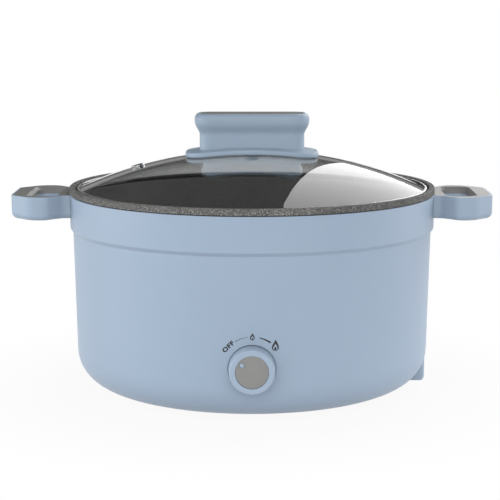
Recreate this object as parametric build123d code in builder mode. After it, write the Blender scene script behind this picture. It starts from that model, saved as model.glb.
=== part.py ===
from build123d import *
from math import cos, radians, sin, sqrt
import os

# Round electric hot pot: a non-stick pan fixed in a moulded housing with two side
# handles, a front control knob, a side appliance inlet and a lift-off glass lid.
# Millimetres. The origin is on the pot's upright axis, on the surface that the feet
# stand on. +Z is up, the knob faces -Y and the inlet faces +X.

# ---------------------------------------------------------------- driving dimensions
# Fits
part_gap = 0.3  # between moulded pieces that are assembled
slip_gap = 0.1  # between a fastener or an insert and its hole, on the radius
shaft_gap = 0.05  # between the turning shaft and its bush, on the radius

# Small screws, used for the cover, handles, inlet and thermostat bracket
small_screw_radius = 1.45
small_head_radius = 2.9
small_head_thickness = 1.6
screw_sink = 0.2  # how deep a countersunk head lies below its surface

# Housing
foot_height = 4.0
housing_wall = 2.2
band_radius = 149.7  # upright band under the pan's rim
band_height = 27.2
band_edge = 0.6
shoulder_step = 2.3  # how far the wall under the shoulder lies inside the band
wall_height = 126.3  # from the underside to the shoulder
shoulder_rise = 3.0
shoulder_rounding = 1.5
inner_rounding = 1.0
wall_draft = 2.1  # taper of the wall from the shoulder down to the rounding
corner_radius = 28.3  # outer rounding from the flat underside into the wall
base_flat = 5.0  # from that rounding in to the bottom cover's opening
ledge_lap = 3.0
ledge_width = 14.0  # inward ledge that the bottom cover seats on
ledge_thickness = 2.6

# Bottom cover and feet
cover_thickness = 2.4
cover_screw_inset = 8.0
cover_screw_angle = 22.5
cover_screw_length = 10.0
cover_boss_height = 14.0
cover_boss_wall = 3.0
cover_boss_roof = 2.0
foot_inset = 26.0  # from the cover's opening in to the feet
foot_radius = 10.0
foot_edge = 0.8
foot_stem_radius = 3.0
foot_barb = 0.8
foot_barb_height = 2.4
vent_count = 12
vent_length = 22.0
vent_width = 3.0
vent_circle = 44.0
cover_rib = 1.6
cover_rib_height = 4.0
cover_rib_margin = 4.0  # from the slots' ends to the ribs

# Pan
rim_overhang = 0.3
rim_thickness = 4.9
rim_edge = 0.8
rim_lower_edge = 0.3
rim_width = 4.6
gasket_thickness = 0.7
gasket_setback = 0.7
lid_seat_depth = 7.6
lid_seat_width = 5.2
seat_edge = 0.5
mouth_rounding = 1.5
pan_draft = 3.4
pan_floor_corner = 28.0
pan_wall = 3.0
pan_bottom_thickness = 4.0

# Heater stack under the pan, from the posts inward
post_inset = 5.0  # from the cover's opening in to the posts
post_radius = 6.0
post_bore_radius = 4.0
post_cap = 6.0
post_screw_radius = 2.0
post_head_thickness = 2.4
post_nut_half = 3.5
post_nut_height = 3.2
post_screw_overrun = 4.0
stud_inset = 10.0  # from the posts in to the pan's studs
stud_radius = 2.5
stud_overrun = 5.0
stud_nut_half = 4.0
stud_nut_height = 4.0
spacer_wall = 1.8
ring_thickness = 1.2
ring_margin = 10.2
control_clearance = 4.3  # from the thermostat up to the ring
ring_lip = 5.0
ring_bend = 1.6
tray_inset = 5.5  # from the studs in to the tray's wall
tray_gap = 10.0
tray_rise = 6.0
tray_bend = 4.0
tray_hole_gap = 1.2
sheet = 0.6  # reflector tray's steel
heater_gap = 7.5
heater_thickness = 10.0
heater_edge = 2.0
element_inset = 16.0
element_radius = 3.3
element_gap_angle = 16.0  # half the opening of the element's ring
element_bearing = -45.0  # direction of the ring's opening
element_bend = 8.0
element_drop = 17.0
seal_wall = 0.7
seal_length = 4.0
tab_width = 6.3
tab_thickness = 0.8
tab_length = 8.0

# Thermal fuse under the tray
fuse_radius = 2.2
fuse_length = 18.0
fuse_offset = 2.0  # outside the element's circle
fuse_y = -20.0
fuse_drop = 3.2
strap_width = 6.0
strap_length = 16.0

# Control
knob_height = 45.7
knob_radius = 17.05
knob_flare = 0.55
knob_depth = 14.1
knob_base_gap = 0.5  # from the recess's floor to the knob's base
knob_wall = 2.2
knob_front_edge = 1.4
knob_back_edge = 0.3
knob_hub_wall = 2.6
knob_hub_depth = 8.0
knob_side_gap = 0.7
knob_recess_depth = 1.9  # from the wall at the top of the rounding
recess_wall = 2.2
recess_floor_thickness = 3.6
recess_lip = 0.4
disc_rim = 4.45
disc_thickness = 1.2
disc_sink = 0.2
pointer_radius = 1.75
pointer_distance = 9.15
pointer_angle = 54.0  # anticlockwise from the top, seen from the front
shaft_radius = 3.0
shaft_tail = 5.0
shaft_end_gap = 1.0
bush_wall = 1.5
bush_length = 6.0
thermostat_setback = 10.4
thermostat_depth = 20.0
thermostat_width = 28.0
thermostat_rise = 20.0
thermostat_edge = 2.0
thermostat_tab_x = 8.0
thermostat_tab_drop = 5.0
bracket_thickness = 1.5
bracket_screw_margin = 7.0
bracket_end = 5.0
bracket_margin = 2.0
bracket_corner = 3.0
bracket_boss_radius = 4.0
bracket_screw_length = 6.0
bush_nut_half = 6.5
bush_nut_height = 2.8

# Appliance inlet, three flat pins in a keyed recess
inlet_setback = 2.5  # of its face, from the wall above the rounding
inlet_depth = 21.0
inlet_width = 48.0
inlet_rise = 27.2
inlet_lift = 1.9  # of its underside, above the housing's
inlet_rounding = 3.9
inlet_tongue = 3.0
inlet_tongue_margin = 5.0
inlet_boss_radius = 4.4
inlet_boss_height = 9.0
inlet_boss_roof = 1.0
inlet_screw_gap = 1.5
inlet_screw_length = 7.0
socket_width = 27.0
socket_rise = 19.2
socket_flange = 1.7
recess_width = 24.4
recess_rise = 16.8
recess_depth = 16.8
recess_chamfer = 4.0
pin_width = 2.0
pin_rise = 4.0
pin_spacing = 14.0
pin_offset = 2.0
pin_setback = 2.0
pin_tail_length = 8.8
pin_chamfer = 0.5

# Side handles
handle_thickness = 19.2
handle_span = 45.8  # reach beyond the band
handle_half_width = 41.0
handle_end_half = 25.0
handle_neck_half = 28.0
handle_wall = 2.4
handle_rounding = 5.2
handle_root = 9.7  # from the band to the finger hole
handle_bar = 14.9  # from the finger hole to the end
grip_side = 11.4
grip_hole_corner = 7.0
grip_hole_edge = 1.6
waist_offset = 3.0
waist_rounding = 8.0
front_shoulder_offset = 5.0
front_rounding = 10.0
back_shoulder_offset = 9.0
back_rounding = 16.0
end_rounding = 7.0
cavity_offset = 6.7  # of the hollow, from the band
hole_wall = 2.0
cover_plate = 2.2
cover_inset = 1.2
lining_thickness = 3.0
lining_depth = 5.6
lining_chamfer = 2.4
handle_screw_inset = 10.0
handle_screw_drop = 4.5  # below the step in the pan's wall
handle_screw_length = 9.0
screw_end_gap = 0.7
handle_head_thickness = 1.4

# Lid
dome_radius = 353.0  # sphere of the glass's outer face
glass_thickness = 4.0
lid_gap = 1.7  # round the lid in the pan's seat
channel_wall = 0.9
channel_lip = 1.0
channel_rise = 6.8
channel_floor = 0.5
glass_lift = 0.06  # of the glass's edge, above the channel's floor
channel_roof = 0.6
vent_x = -94.0
vent_bore_radius = 2.1
vent_hole_radius = 3.4
vent_flange_radius = 5.6
vent_collar = 1.7
vent_collar_edge = 0.7
vent_bore_edge = 0.5
rivet_lip = 1.4
rivet_thickness = 1.0
rivet_edge = 0.3

# Lid handle
skirt_length = 109.0
skirt_width = 56.0
skirt_corner = 20.0
skirt_thickness = 4.6
skirt_edge = 1.7
pad_thickness = 0.6
pad_inset = 5.0
neck_length = 85.7
neck_width = 28.0
neck_corner = 9.0
neck_root = 10.0
neck_rise = 15.9
neck_rounding = 8.0
flare = 4.05
flare_rise = 7.0
flare_rounding = 12.0
head_rise = 8.6
head_edge = 4.2
cap_inset = 0.4
cap_thickness = 2.4
cap_sink = 0.1
cap_edge = 0.3
grip_wall = 3.2
grip_floor = 9.2
lid_screw_radius = 2.4
lid_screw_clear = 0.8
lid_head_radius = 5.3
lid_head_thickness = 3.0
lid_head_edge = 1.5
lid_boss_radius = 6.0
lid_boss_drop = 8.3
lid_boss_roof = 3.0
lid_screw_margin = 2.0
washer_radius = 6.5
washer_thickness = 1.8

# Wiring
cable_radius = 1.5
earth_x = 98.0
earth_y = 36.0
earth_lug_radius = 4.0
earth_lug_thickness = 1.0

# ---------------------------------------------------------------- derived values
floor_bottom = foot_height
floor_top = floor_bottom + housing_wall
ledge_bottom = floor_bottom + cover_thickness
ledge_top = ledge_bottom + ledge_thickness
corner_top = floor_bottom + corner_radius
shoulder_height = floor_bottom + wall_height
shoulder_top = shoulder_height + shoulder_rise
band_top = shoulder_top + band_height
wall_top_radius = band_radius - shoulder_step
wall_bottom_radius = wall_top_radius - wall_draft
inner_band = band_radius - housing_wall
cover_opening_radius = wall_bottom_radius - corner_radius - base_flat
ledge_outer = cover_opening_radius + ledge_lap
ledge_inner = cover_opening_radius - ledge_width
cover_screw_circle = cover_opening_radius - cover_screw_inset
foot_circle = cover_opening_radius - foot_inset
post_circle = cover_opening_radius - post_inset
stud_circle = post_circle - stud_inset
tray_radius = stud_circle - tray_inset
heater_radius = tray_radius - heater_gap
element_circle = heater_radius - element_inset
ring_outer = post_circle + ring_margin

rim_bottom = band_top + gasket_thickness
rim_top = rim_bottom + rim_thickness
lid_seat = rim_top - lid_seat_depth
seat_underside = lid_seat - pan_wall
rim_radius = band_radius + rim_overhang
lid_seat_radius = rim_radius - rim_width
pan_mouth_radius = lid_seat_radius - lid_seat_width
pan_floor_radius = pan_mouth_radius - pan_draft
pan_outer_radius = inner_band - part_gap
ring_bottom = knob_height + thermostat_rise / 2 + control_clearance
ring_top = ring_bottom + ring_thickness
tray_bottom = ring_bottom - tray_rise
heater_bottom = tray_bottom + tray_gap
pan_underside = heater_bottom + heater_thickness
pan_floor_height = pan_underside + pan_bottom_thickness
flange_top = ring_top + sheet
post_head_seat = ring_bottom - post_cap
element_foot = heater_bottom - element_drop
seal_bottom = element_foot - seal_length
tab_bottom = seal_bottom - tab_length

knob_recess_floor = wall_bottom_radius - knob_recess_depth
recess_back = knob_recess_floor - recess_floor_thickness
knob_back = knob_recess_floor + knob_base_gap
knob_face = knob_back + knob_depth
knob_base_radius = knob_radius + knob_flare
knob_recess_radius = knob_base_radius + knob_side_gap
disc_radius = knob_radius - disc_rim
bush_radius = shaft_radius + bush_wall
thermostat_front = knob_recess_floor - thermostat_setback
thermostat_back = thermostat_front - thermostat_depth
bracket_front = thermostat_front + bracket_thickness
bracket_screw_x = thermostat_width / 2 + bracket_screw_margin

handle_reach = band_radius + handle_span
handle_bottom = band_top - handle_thickness
cover_bottom = band_top - cover_plate
grip_hole_length = handle_span - handle_root - handle_bar
grip_hole_width = 2 * (handle_half_width - grip_side)
cavity_start = band_radius + cavity_offset
grip_hole_centre = band_radius + handle_root + grip_hole_length / 2
handle_screw_y = handle_neck_half - handle_screw_inset
handle_screw_height = seat_underside - handle_screw_drop
handle_head_seat = sqrt(inner_band**2 - (handle_screw_y + small_head_radius) ** 2)

inlet_face = wall_bottom_radius - inlet_setback
inlet_back = inlet_face - inlet_depth
inlet_bottom = floor_bottom + inlet_lift
inlet_centre = inlet_bottom + inlet_rise / 2
inlet_screw_x = cover_opening_radius + inlet_boss_radius + slip_gap
inlet_screw_y = socket_width / 2 + inlet_screw_gap
pin_tail = inlet_back - pin_tail_length

lid_band_bottom = lid_seat + part_gap
lid_band_top = lid_band_bottom + channel_rise
lid_band_outer = lid_seat_radius - lid_gap
channel_web = lid_band_outer - channel_wall
glass_radius = channel_web - part_gap
inside_dome_radius = dome_radius - glass_thickness
glass_edge = lid_band_bottom + channel_floor + glass_lift
dome_centre = glass_edge - sqrt(inside_dome_radius**2 - glass_radius**2)
dome_top = dome_centre + dome_radius
pad_radius = dome_radius + pad_thickness
skirt_radius = dome_radius + skirt_thickness
pad_length = skirt_length - 2 * pad_inset
pad_width = skirt_width - 2 * pad_inset
pad_corner = skirt_corner - pad_inset
flare_start = dome_top + neck_rise
flare_end = flare_start + flare_rise
head_top = flare_end + head_rise
lid_boss_top = head_top - lid_boss_drop
washer_bottom = dome_top - glass_thickness - washer_thickness

# Sketches drawn on this plane look at the pot from the front: x right, y up.
front = Plane(origin=(0, 0, knob_height), x_dir=(1, 0, 0), z_dir=(0, -1, 0))
# Sketches drawn on this plane look along +X: x is the pot's +Y, y is up.
side = Plane(origin=(0, 0, 0), x_dir=(0, 1, 0), z_dir=(1, 0, 0))


def wall_radius(height):
    """Outer radius of the housing's tapered wall at a height."""
    share = (height - corner_top) / (shoulder_height - corner_top)
    return wall_bottom_radius + share * (wall_top_radius - wall_bottom_radius)


def section(corners):
    """Closed face in the XZ plane from rows of (radius, height, corner rounding)."""
    with BuildSketch(Plane.XZ) as face:
        with BuildLine():
            FilletPolyline([(r, z) for r, z, _ in corners], radius=[f for _, _, f in corners], close=True)
        make_face()
    return face.sketch


def finish_piece(piece, name):
    """Label a finished piece and write its STEP file."""
    piece.part.label = name
    export_step(piece.part, f"parts/{name}.step")


os.makedirs("parts", exist_ok=True)

# ---------------------------------------------------------------- outer housing
# Moulded cup: rounded underside, slightly tapered wall, a shoulder and an upright band.
with BuildPart() as outer_housing:
    revolve(
        section(
            [
                (cover_opening_radius, floor_bottom, 0),
                (wall_radius(floor_bottom), floor_bottom, corner_radius),
                (wall_top_radius, shoulder_height, shoulder_rounding),
                (band_radius, shoulder_top, shoulder_rounding),
                (band_radius, band_top, band_edge),
                (inner_band, band_top, 0),
                (inner_band, shoulder_top + housing_wall / 2, inner_rounding),
                (wall_top_radius - housing_wall, shoulder_height + housing_wall / 2, inner_rounding),
                (wall_radius(floor_top) - housing_wall, floor_top, corner_radius - housing_wall),
                (ledge_outer, floor_top, 0),
                (ledge_outer, ledge_top, 0),
                (ledge_inner, ledge_top, 0),
                (ledge_inner, ledge_bottom, 0),
                (cover_opening_radius, ledge_bottom, 0),
            ]
        ),
        axis=Axis.Z,
    )
    # Four hollow posts carry the pan's mounting ring; their screws go in from below.
    with BuildSketch(Plane.XY.offset(ledge_bottom)):
        with PolarLocations(post_circle, 4, start_angle=45):
            Circle(post_radius)
    extrude(amount=ring_bottom - ledge_bottom)
    with BuildSketch(Plane.XY.offset(ledge_bottom)):
        with PolarLocations(post_circle, 4, start_angle=45):
            Circle(post_bore_radius)
    extrude(amount=post_head_seat - ledge_bottom, mode=Mode.SUBTRACT)
    with BuildSketch(Plane.XY.offset(post_head_seat)):
        with PolarLocations(post_circle, 4, start_angle=45):
            Circle(post_screw_radius + slip_gap)
    extrude(amount=post_cap, mode=Mode.SUBTRACT)
    # Four short bosses take the bottom cover's screws.
    with BuildSketch(Plane.XY.offset(ledge_bottom)):
        with PolarLocations(cover_screw_circle, 4, start_angle=cover_screw_angle):
            Circle(small_screw_radius + cover_boss_wall)
    extrude(amount=cover_boss_height)
    with BuildSketch(Plane.XY.offset(ledge_bottom)):
        with PolarLocations(cover_screw_circle, 4, start_angle=cover_screw_angle):
            Circle(small_screw_radius + slip_gap)
    extrude(amount=cover_boss_height - cover_boss_roof, mode=Mode.SUBTRACT)
    # Thickened pad behind the knob, with the round recess that the knob's base sits in.
    with BuildSketch(front.offset(recess_back)):
        Circle(knob_recess_radius + recess_wall)
    extrude(amount=recess_floor_thickness + recess_lip)
    with BuildSketch(front.offset(bracket_front)):
        with Locations((bracket_screw_x, 0), (-bracket_screw_x, 0)):
            Circle(bracket_boss_radius)
    extrude(amount=wall_radius(knob_height) - housing_wall - bracket_front)
    with BuildSketch(front.offset(knob_recess_floor)):
        Circle(knob_recess_radius)
    extrude(amount=knob_depth, mode=Mode.SUBTRACT)
    with BuildSketch(front.offset(recess_back)):
        Circle(bush_radius + part_gap)
    extrude(amount=knob_depth, mode=Mode.SUBTRACT)
    with BuildSketch(front.offset(bracket_front)):
        with Locations((bracket_screw_x, 0), (-bracket_screw_x, 0)):
            Circle(small_screw_radius + slip_gap)
    extrude(amount=bracket_screw_length, mode=Mode.SUBTRACT)
    # Window for the inlet block, and the pads and holes for its two screws.
    with BuildSketch(Plane.XY.offset(floor_top)):
        with Locations((inlet_screw_x, inlet_screw_y), (inlet_screw_x, -inlet_screw_y)):
            Circle(inlet_boss_radius)
    extrude(amount=ledge_top - floor_top)
    with BuildSketch(side.offset(inlet_back - part_gap)):
        with Locations((0, inlet_centre)):
            Rectangle(inlet_width + 2 * part_gap, inlet_rise + 2 * part_gap)
    extrude(amount=band_radius - inlet_back, mode=Mode.SUBTRACT)
    with BuildSketch(Plane.XY.offset(floor_bottom)):
        with Locations((inlet_screw_x, inlet_screw_y), (inlet_screw_x, -inlet_screw_y)):
            Circle(small_head_radius + part_gap)
    extrude(amount=small_head_thickness + part_gap, mode=Mode.SUBTRACT)
    with BuildSketch(Plane.XY.offset(floor_bottom)):
        with Locations((inlet_screw_x, inlet_screw_y), (inlet_screw_x, -inlet_screw_y)):
            Circle(small_screw_radius + slip_gap)
    extrude(amount=ledge_top - floor_bottom, mode=Mode.SUBTRACT)
    # Holes in the band for the handle screws, on both sides.
    with BuildSketch(side.offset(-band_radius)):
        with Locations((handle_screw_y, handle_screw_height), (-handle_screw_y, handle_screw_height)):
            Circle(small_screw_radius + slip_gap)
    extrude(amount=2 * band_radius, mode=Mode.SUBTRACT)
finish_piece(outer_housing, "outer_housing")

# ---------------------------------------------------------------- bottom cover
# Screwed disc with cooling slots; it seats on the housing's ledge from below.
with BuildPart() as bottom_cover:
    with BuildSketch(Plane.XY.offset(floor_bottom)):
        Circle(cover_opening_radius - part_gap)
        with PolarLocations(vent_circle, vent_count):
            SlotOverall(vent_length, vent_width, mode=Mode.SUBTRACT)
        with PolarLocations(foot_circle, 4, start_angle=45):
            Circle(foot_stem_radius + slip_gap, mode=Mode.SUBTRACT)
        with PolarLocations(cover_screw_circle, 4, start_angle=cover_screw_angle):
            Circle(small_screw_radius + slip_gap, mode=Mode.SUBTRACT)
    extrude(amount=cover_thickness)
    with BuildSketch(Plane.XY.offset(floor_bottom)):
        with PolarLocations(cover_screw_circle, 4, start_angle=cover_screw_angle):
            Circle(small_head_radius + part_gap)
    extrude(amount=small_head_thickness, mode=Mode.SUBTRACT)
    # Stiffening rings on the inside face, round the slots.
    rib_reach = vent_length / 2 + cover_rib_margin
    for rib_radius in (vent_circle - rib_reach, vent_circle + rib_reach):
        with BuildSketch(Plane.XY.offset(ledge_bottom)):
            Circle(rib_radius)
            Circle(rib_radius - cover_rib, mode=Mode.SUBTRACT)
        extrude(amount=cover_rib_height)
finish_piece(bottom_cover, "bottom_cover")

with BuildPart() as cover_screws:
    cover_head_seat = floor_bottom + small_head_thickness
    with BuildSketch(Plane.XY.offset(floor_bottom + screw_sink)):
        with PolarLocations(cover_screw_circle, 4, start_angle=cover_screw_angle):
            Circle(small_head_radius)
    extrude(amount=small_head_thickness - screw_sink)
    with BuildSketch(Plane.XY.offset(cover_head_seat)):
        with PolarLocations(cover_screw_circle, 4, start_angle=cover_screw_angle):
            Circle(small_screw_radius)
    extrude(amount=cover_screw_length)
finish_piece(cover_screws, "cover_screws")

# Rubber feet, pulled through the cover by their barbed stems.
with BuildPart() as rubber_feet:
    foot = section(
        [
            (0, 0, 0),
            (foot_radius - foot_edge, 0, foot_edge),
            (foot_radius, foot_height, 0),
            (foot_stem_radius, foot_height, 0),
            (foot_stem_radius, ledge_bottom, 0),
            (foot_stem_radius + foot_barb, ledge_bottom, 0),
            (foot_stem_radius, ledge_bottom + foot_barb_height, 0),
            (0, ledge_bottom + foot_barb_height, 0),
        ]
    )
    with PolarLocations(foot_circle, 4, start_angle=45):
        add(revolve(foot, axis=Axis.Z, mode=Mode.PRIVATE))
finish_piece(rubber_feet, "rubber_feet")

# ---------------------------------------------------------------- pan and its gasket
with BuildPart() as rim_gasket:
    with BuildSketch(Plane.XY.offset(band_top)):
        Circle(band_radius - gasket_setback)
        Circle(pan_outer_radius + part_gap, mode=Mode.SUBTRACT)
    extrude(amount=gasket_thickness)
finish_piece(rim_gasket, "rim_gasket")

# Cast pan: the rim hangs on the housing's band, and a seat inside it takes the lid.
with BuildPart() as inner_pan:
    revolve(
        section(
            [
                (0, pan_underside, 0),
                (pan_floor_radius + pan_wall, pan_underside, pan_floor_corner + pan_wall),
                (pan_mouth_radius + pan_wall, seat_underside - mouth_rounding, mouth_rounding),
                (pan_outer_radius, seat_underside, mouth_rounding),
                (pan_outer_radius, rim_bottom, 0),
                (rim_radius, rim_bottom, rim_lower_edge),
                (rim_radius, rim_top, rim_edge),
                (lid_seat_radius, rim_top, seat_edge),
                (lid_seat_radius, lid_seat, seat_edge),
                (pan_mouth_radius, lid_seat, mouth_rounding),
                (pan_floor_radius, pan_floor_height, pan_floor_corner),
                (0, pan_floor_height, 0),
            ]
        ),
        axis=Axis.Z,
    )
finish_piece(inner_pan, "inner_pan")

# ---------------------------------------------------------------- heater stack
with BuildPart() as pan_studs:
    with BuildSketch(Plane.XY.offset(ring_bottom - stud_overrun)):
        with PolarLocations(stud_circle, 4):
            Circle(stud_radius)
    extrude(amount=pan_underside - ring_bottom + stud_overrun)
finish_piece(pan_studs, "pan_studs")

with BuildPart() as pan_spacers:
    with BuildSketch(Plane.XY.offset(flange_top)):
        with PolarLocations(stud_circle, 4):
            Circle(stud_radius + spacer_wall)
            Circle(stud_radius + slip_gap, mode=Mode.SUBTRACT)
    extrude(amount=pan_underside - flange_top)
finish_piece(pan_spacers, "pan_spacers")

with BuildPart() as pan_nuts:
    with BuildSketch(Plane.XY.offset(ring_bottom - stud_nut_height)):
        with PolarLocations(stud_circle, 4):
            RegularPolygon(stud_nut_half, 6, major_radius=False)
            Circle(stud_radius + slip_gap, mode=Mode.SUBTRACT)
    extrude(amount=stud_nut_height)
finish_piece(pan_nuts, "pan_nuts")

# Pressed steel ring that ties the pan's studs to the housing's posts.
with BuildPart() as mounting_ring:
    ring_inner = tray_radius + part_gap
    revolve(
        section(
            [
                (ring_inner, ring_bottom, 0),
                (ring_outer, ring_bottom, ring_bend),
                (ring_outer, ring_top + ring_lip, 0),
                (ring_outer - ring_thickness, ring_top + ring_lip, 0),
                (ring_outer - ring_thickness, ring_top, ring_bend - ring_thickness),
                (ring_inner, ring_top, 0),
            ]
        ),
        axis=Axis.Z,
    )
    with BuildSketch(Plane.XY.offset(ring_bottom)):
        with PolarLocations(stud_circle, 4):
            Circle(stud_radius + slip_gap)
        with PolarLocations(post_circle, 4, start_angle=45):
            Circle(post_screw_radius + slip_gap)
    extrude(amount=ring_thickness, mode=Mode.SUBTRACT)
finish_piece(mounting_ring, "mounting_ring")

with BuildPart() as post_screws:
    with BuildSketch(Plane.XY.offset(post_head_seat - post_head_thickness)):
        with PolarLocations(post_circle, 4, start_angle=45):
            Circle(post_bore_radius - part_gap)
    extrude(amount=post_head_thickness)
    with BuildSketch(Plane.XY.offset(post_head_seat)):
        with PolarLocations(post_circle, 4, start_angle=45):
            Circle(post_screw_radius)
    extrude(amount=ring_top + post_screw_overrun - post_head_seat)
finish_piece(post_screws, "post_screws")

with BuildPart() as post_nuts:
    with BuildSketch(Plane.XY.offset(ring_top)):
        with PolarLocations(post_circle, 4, start_angle=45):
            RegularPolygon(post_nut_half, 6, major_radius=False)
            Circle(post_screw_radius + slip_gap, mode=Mode.SUBTRACT)
    extrude(amount=post_nut_height)
finish_piece(post_nuts, "post_nuts")

# Aluminium heater plate, brazed flat to the pan, with a groove for the element.
with BuildPart() as heater_plate:
    revolve(
        section(
            [
                (0, heater_bottom, 0),
                (heater_radius, heater_bottom, heater_edge),
                (heater_radius, pan_underside, 0),
                (0, pan_underside, 0),
            ]
        ),
        axis=Axis.Z,
    )
    with BuildSketch(Plane.XZ):
        with Locations((element_circle, heater_bottom)):
            Circle(element_radius + slip_gap)
    revolve(axis=Axis.Z, mode=Mode.SUBTRACT)
finish_piece(heater_plate, "heater_plate")


def element_end(side_sign):
    """End of the element's ring and its inward-bent foot, on one side of the opening."""
    angle = radians(element_bearing + side_sign * element_gap_angle)
    start = Vector(element_circle * cos(angle), element_circle * sin(angle), heater_bottom)
    towards_gap = Vector(side_sign * sin(angle), -side_sign * cos(angle), 0)
    return start, towards_gap, start + towards_gap * element_bend


# Tubular element: an open ring in the groove, with both ends bent down to their seals.
with BuildPart() as heating_element:
    first, first_way, first_foot = element_end(1)
    last, last_way, last_foot = element_end(-1)
    drop = Vector(0, 0, -element_bend)
    with BuildLine() as element_path:
        Line((first_foot.X, first_foot.Y, element_foot), first_foot + drop)
        TangentArc(first, first_foot + drop, tangent=first_way)
        CenterArc(
            (0, 0, heater_bottom),
            element_circle,
            element_bearing + element_gap_angle,
            360 - 2 * element_gap_angle,
        )
        TangentArc(last, last_foot + drop, tangent=last_way)
        Line(last_foot + drop, (last_foot.X, last_foot.Y, element_foot))
    with BuildSketch(Plane.XY.offset(element_foot)):
        with Locations((first_foot.X, first_foot.Y)):
            Circle(element_radius)
    sweep(path=element_path.line)
finish_piece(heating_element, "heating_element")

element_feet = [(first_foot.X, first_foot.Y), (last_foot.X, last_foot.Y)]

with BuildPart() as element_seals:
    with BuildSketch(Plane.XY.offset(seal_bottom)):
        with Locations(*element_feet):
            Circle(element_radius + seal_wall)
    extrude(amount=seal_length)
finish_piece(element_seals, "element_seals")

with BuildPart() as element_tabs:
    with BuildSketch(Plane.XY.offset(tab_bottom)):
        with Locations(*element_feet):
            Rectangle(tab_width, tab_thickness)
    extrude(amount=tab_length)
finish_piece(element_tabs, "element_tabs")

# Thin tray under the heater; its flange is clamped between the ring and the spacers.
with BuildPart() as reflector_tray:
    flange_radius = stud_circle + tray_inset
    revolve(
        section(
            [
                (0, tray_bottom, 0),
                (tray_radius, tray_bottom, tray_bend),
                (tray_radius, ring_top, 0),
                (flange_radius, ring_top, 0),
                (flange_radius, flange_top, 0),
                (tray_radius - sheet, flange_top, 0),
                (tray_radius - sheet, tray_bottom + sheet, tray_bend - sheet),
                (0, tray_bottom + sheet, 0),
            ]
        ),
        axis=Axis.Z,
    )
    with BuildSketch(Plane.XY.offset(ring_top)):
        with PolarLocations(stud_circle, 4):
            Circle(stud_radius + slip_gap)
    extrude(amount=sheet, mode=Mode.SUBTRACT)
    with BuildSketch(Plane.XY.offset(tray_bottom)):
        with Locations(*element_feet):
            Circle(element_radius + tray_hole_gap)
    extrude(amount=sheet, mode=Mode.SUBTRACT)
finish_piece(reflector_tray, "reflector_tray")

# ---------------------------------------------------------------- thermal fuse
fuse_x = element_circle + fuse_offset
fuse_height = tray_bottom - fuse_drop
fuse_plane = Plane(origin=(fuse_x, fuse_y, fuse_height), x_dir=(0, 1, 0), z_dir=(1, 0, 0))

with BuildPart() as thermal_fuse:
    with BuildSketch(fuse_plane):
        Circle(fuse_radius)
    extrude(amount=fuse_length / 2, both=True)
finish_piece(thermal_fuse, "thermal_fuse")

# Bent strap that holds the fuse against the tray's underside.
with BuildPart() as fuse_clip:
    strap_inner = fuse_radius + slip_gap
    strap_outer = strap_inner + sheet
    with BuildSketch(fuse_plane):
        Circle(strap_outer)
        with Locations((0, fuse_drop / 2)):
            Rectangle(2 * strap_outer, fuse_drop)
        with Locations((0, fuse_drop - sheet / 2)):
            Rectangle(strap_length, sheet)
        Circle(strap_inner, mode=Mode.SUBTRACT)
        with Locations((0, fuse_drop / 2)):
            Rectangle(2 * strap_inner, fuse_drop, mode=Mode.SUBTRACT)
    extrude(amount=strap_width / 2, both=True)
finish_piece(fuse_clip, "fuse_clip")

# ---------------------------------------------------------------- thermostat
with BuildPart() as thermostat_body:
    with BuildSketch(front.offset(thermostat_back)):
        RectangleRounded(thermostat_width, thermostat_rise, thermostat_edge)
    extrude(amount=thermostat_depth)
    # Threaded bush through the bracket, bored for the turning shaft.
    with BuildSketch(front.offset(thermostat_front)):
        Circle(bush_radius)
    extrude(amount=bush_length)
    with BuildSketch(front.offset(thermostat_front - shaft_tail - shaft_end_gap)):
        Circle(shaft_radius + shaft_gap)
    extrude(amount=shaft_tail + shaft_end_gap + bush_length, mode=Mode.SUBTRACT)
finish_piece(thermostat_body, "thermostat_body")

with BuildPart() as thermostat_terminals:
    with BuildSketch(front.offset(thermostat_back - tab_length)):
        with Locations((thermostat_tab_x, -thermostat_tab_drop), (-thermostat_tab_x, -thermostat_tab_drop)):
            Rectangle(tab_width, tab_thickness)
    extrude(amount=tab_length)
finish_piece(thermostat_terminals, "thermostat_terminals")

with BuildPart() as thermostat_bracket:
    with BuildSketch(front.offset(thermostat_front)):
        RectangleRounded(
            2 * (bracket_screw_x + bracket_end), thermostat_rise + 2 * bracket_margin, bracket_corner
        )
        Circle(bush_radius + slip_gap, mode=Mode.SUBTRACT)
        with Locations((bracket_screw_x, 0), (-bracket_screw_x, 0)):
            Circle(small_screw_radius + slip_gap, mode=Mode.SUBTRACT)
    extrude(amount=bracket_thickness)
finish_piece(thermostat_bracket, "thermostat_bracket")

with BuildPart() as thermostat_nut:
    with BuildSketch(front.offset(bracket_front)):
        RegularPolygon(bush_nut_half, 6, major_radius=False)
        Circle(bush_radius + slip_gap, mode=Mode.SUBTRACT)
    extrude(amount=bush_nut_height)
finish_piece(thermostat_nut, "thermostat_nut")

with BuildPart() as bracket_screws:
    with BuildSketch(front.offset(thermostat_front - small_head_thickness)):
        with Locations((bracket_screw_x, 0), (-bracket_screw_x, 0)):
            Circle(small_head_radius)
    extrude(amount=small_head_thickness)
    with BuildSketch(front.offset(thermostat_front)):
        with Locations((bracket_screw_x, 0), (-bracket_screw_x, 0)):
            Circle(small_screw_radius)
    extrude(amount=bracket_screw_length)
finish_piece(bracket_screws, "bracket_screws")

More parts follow.
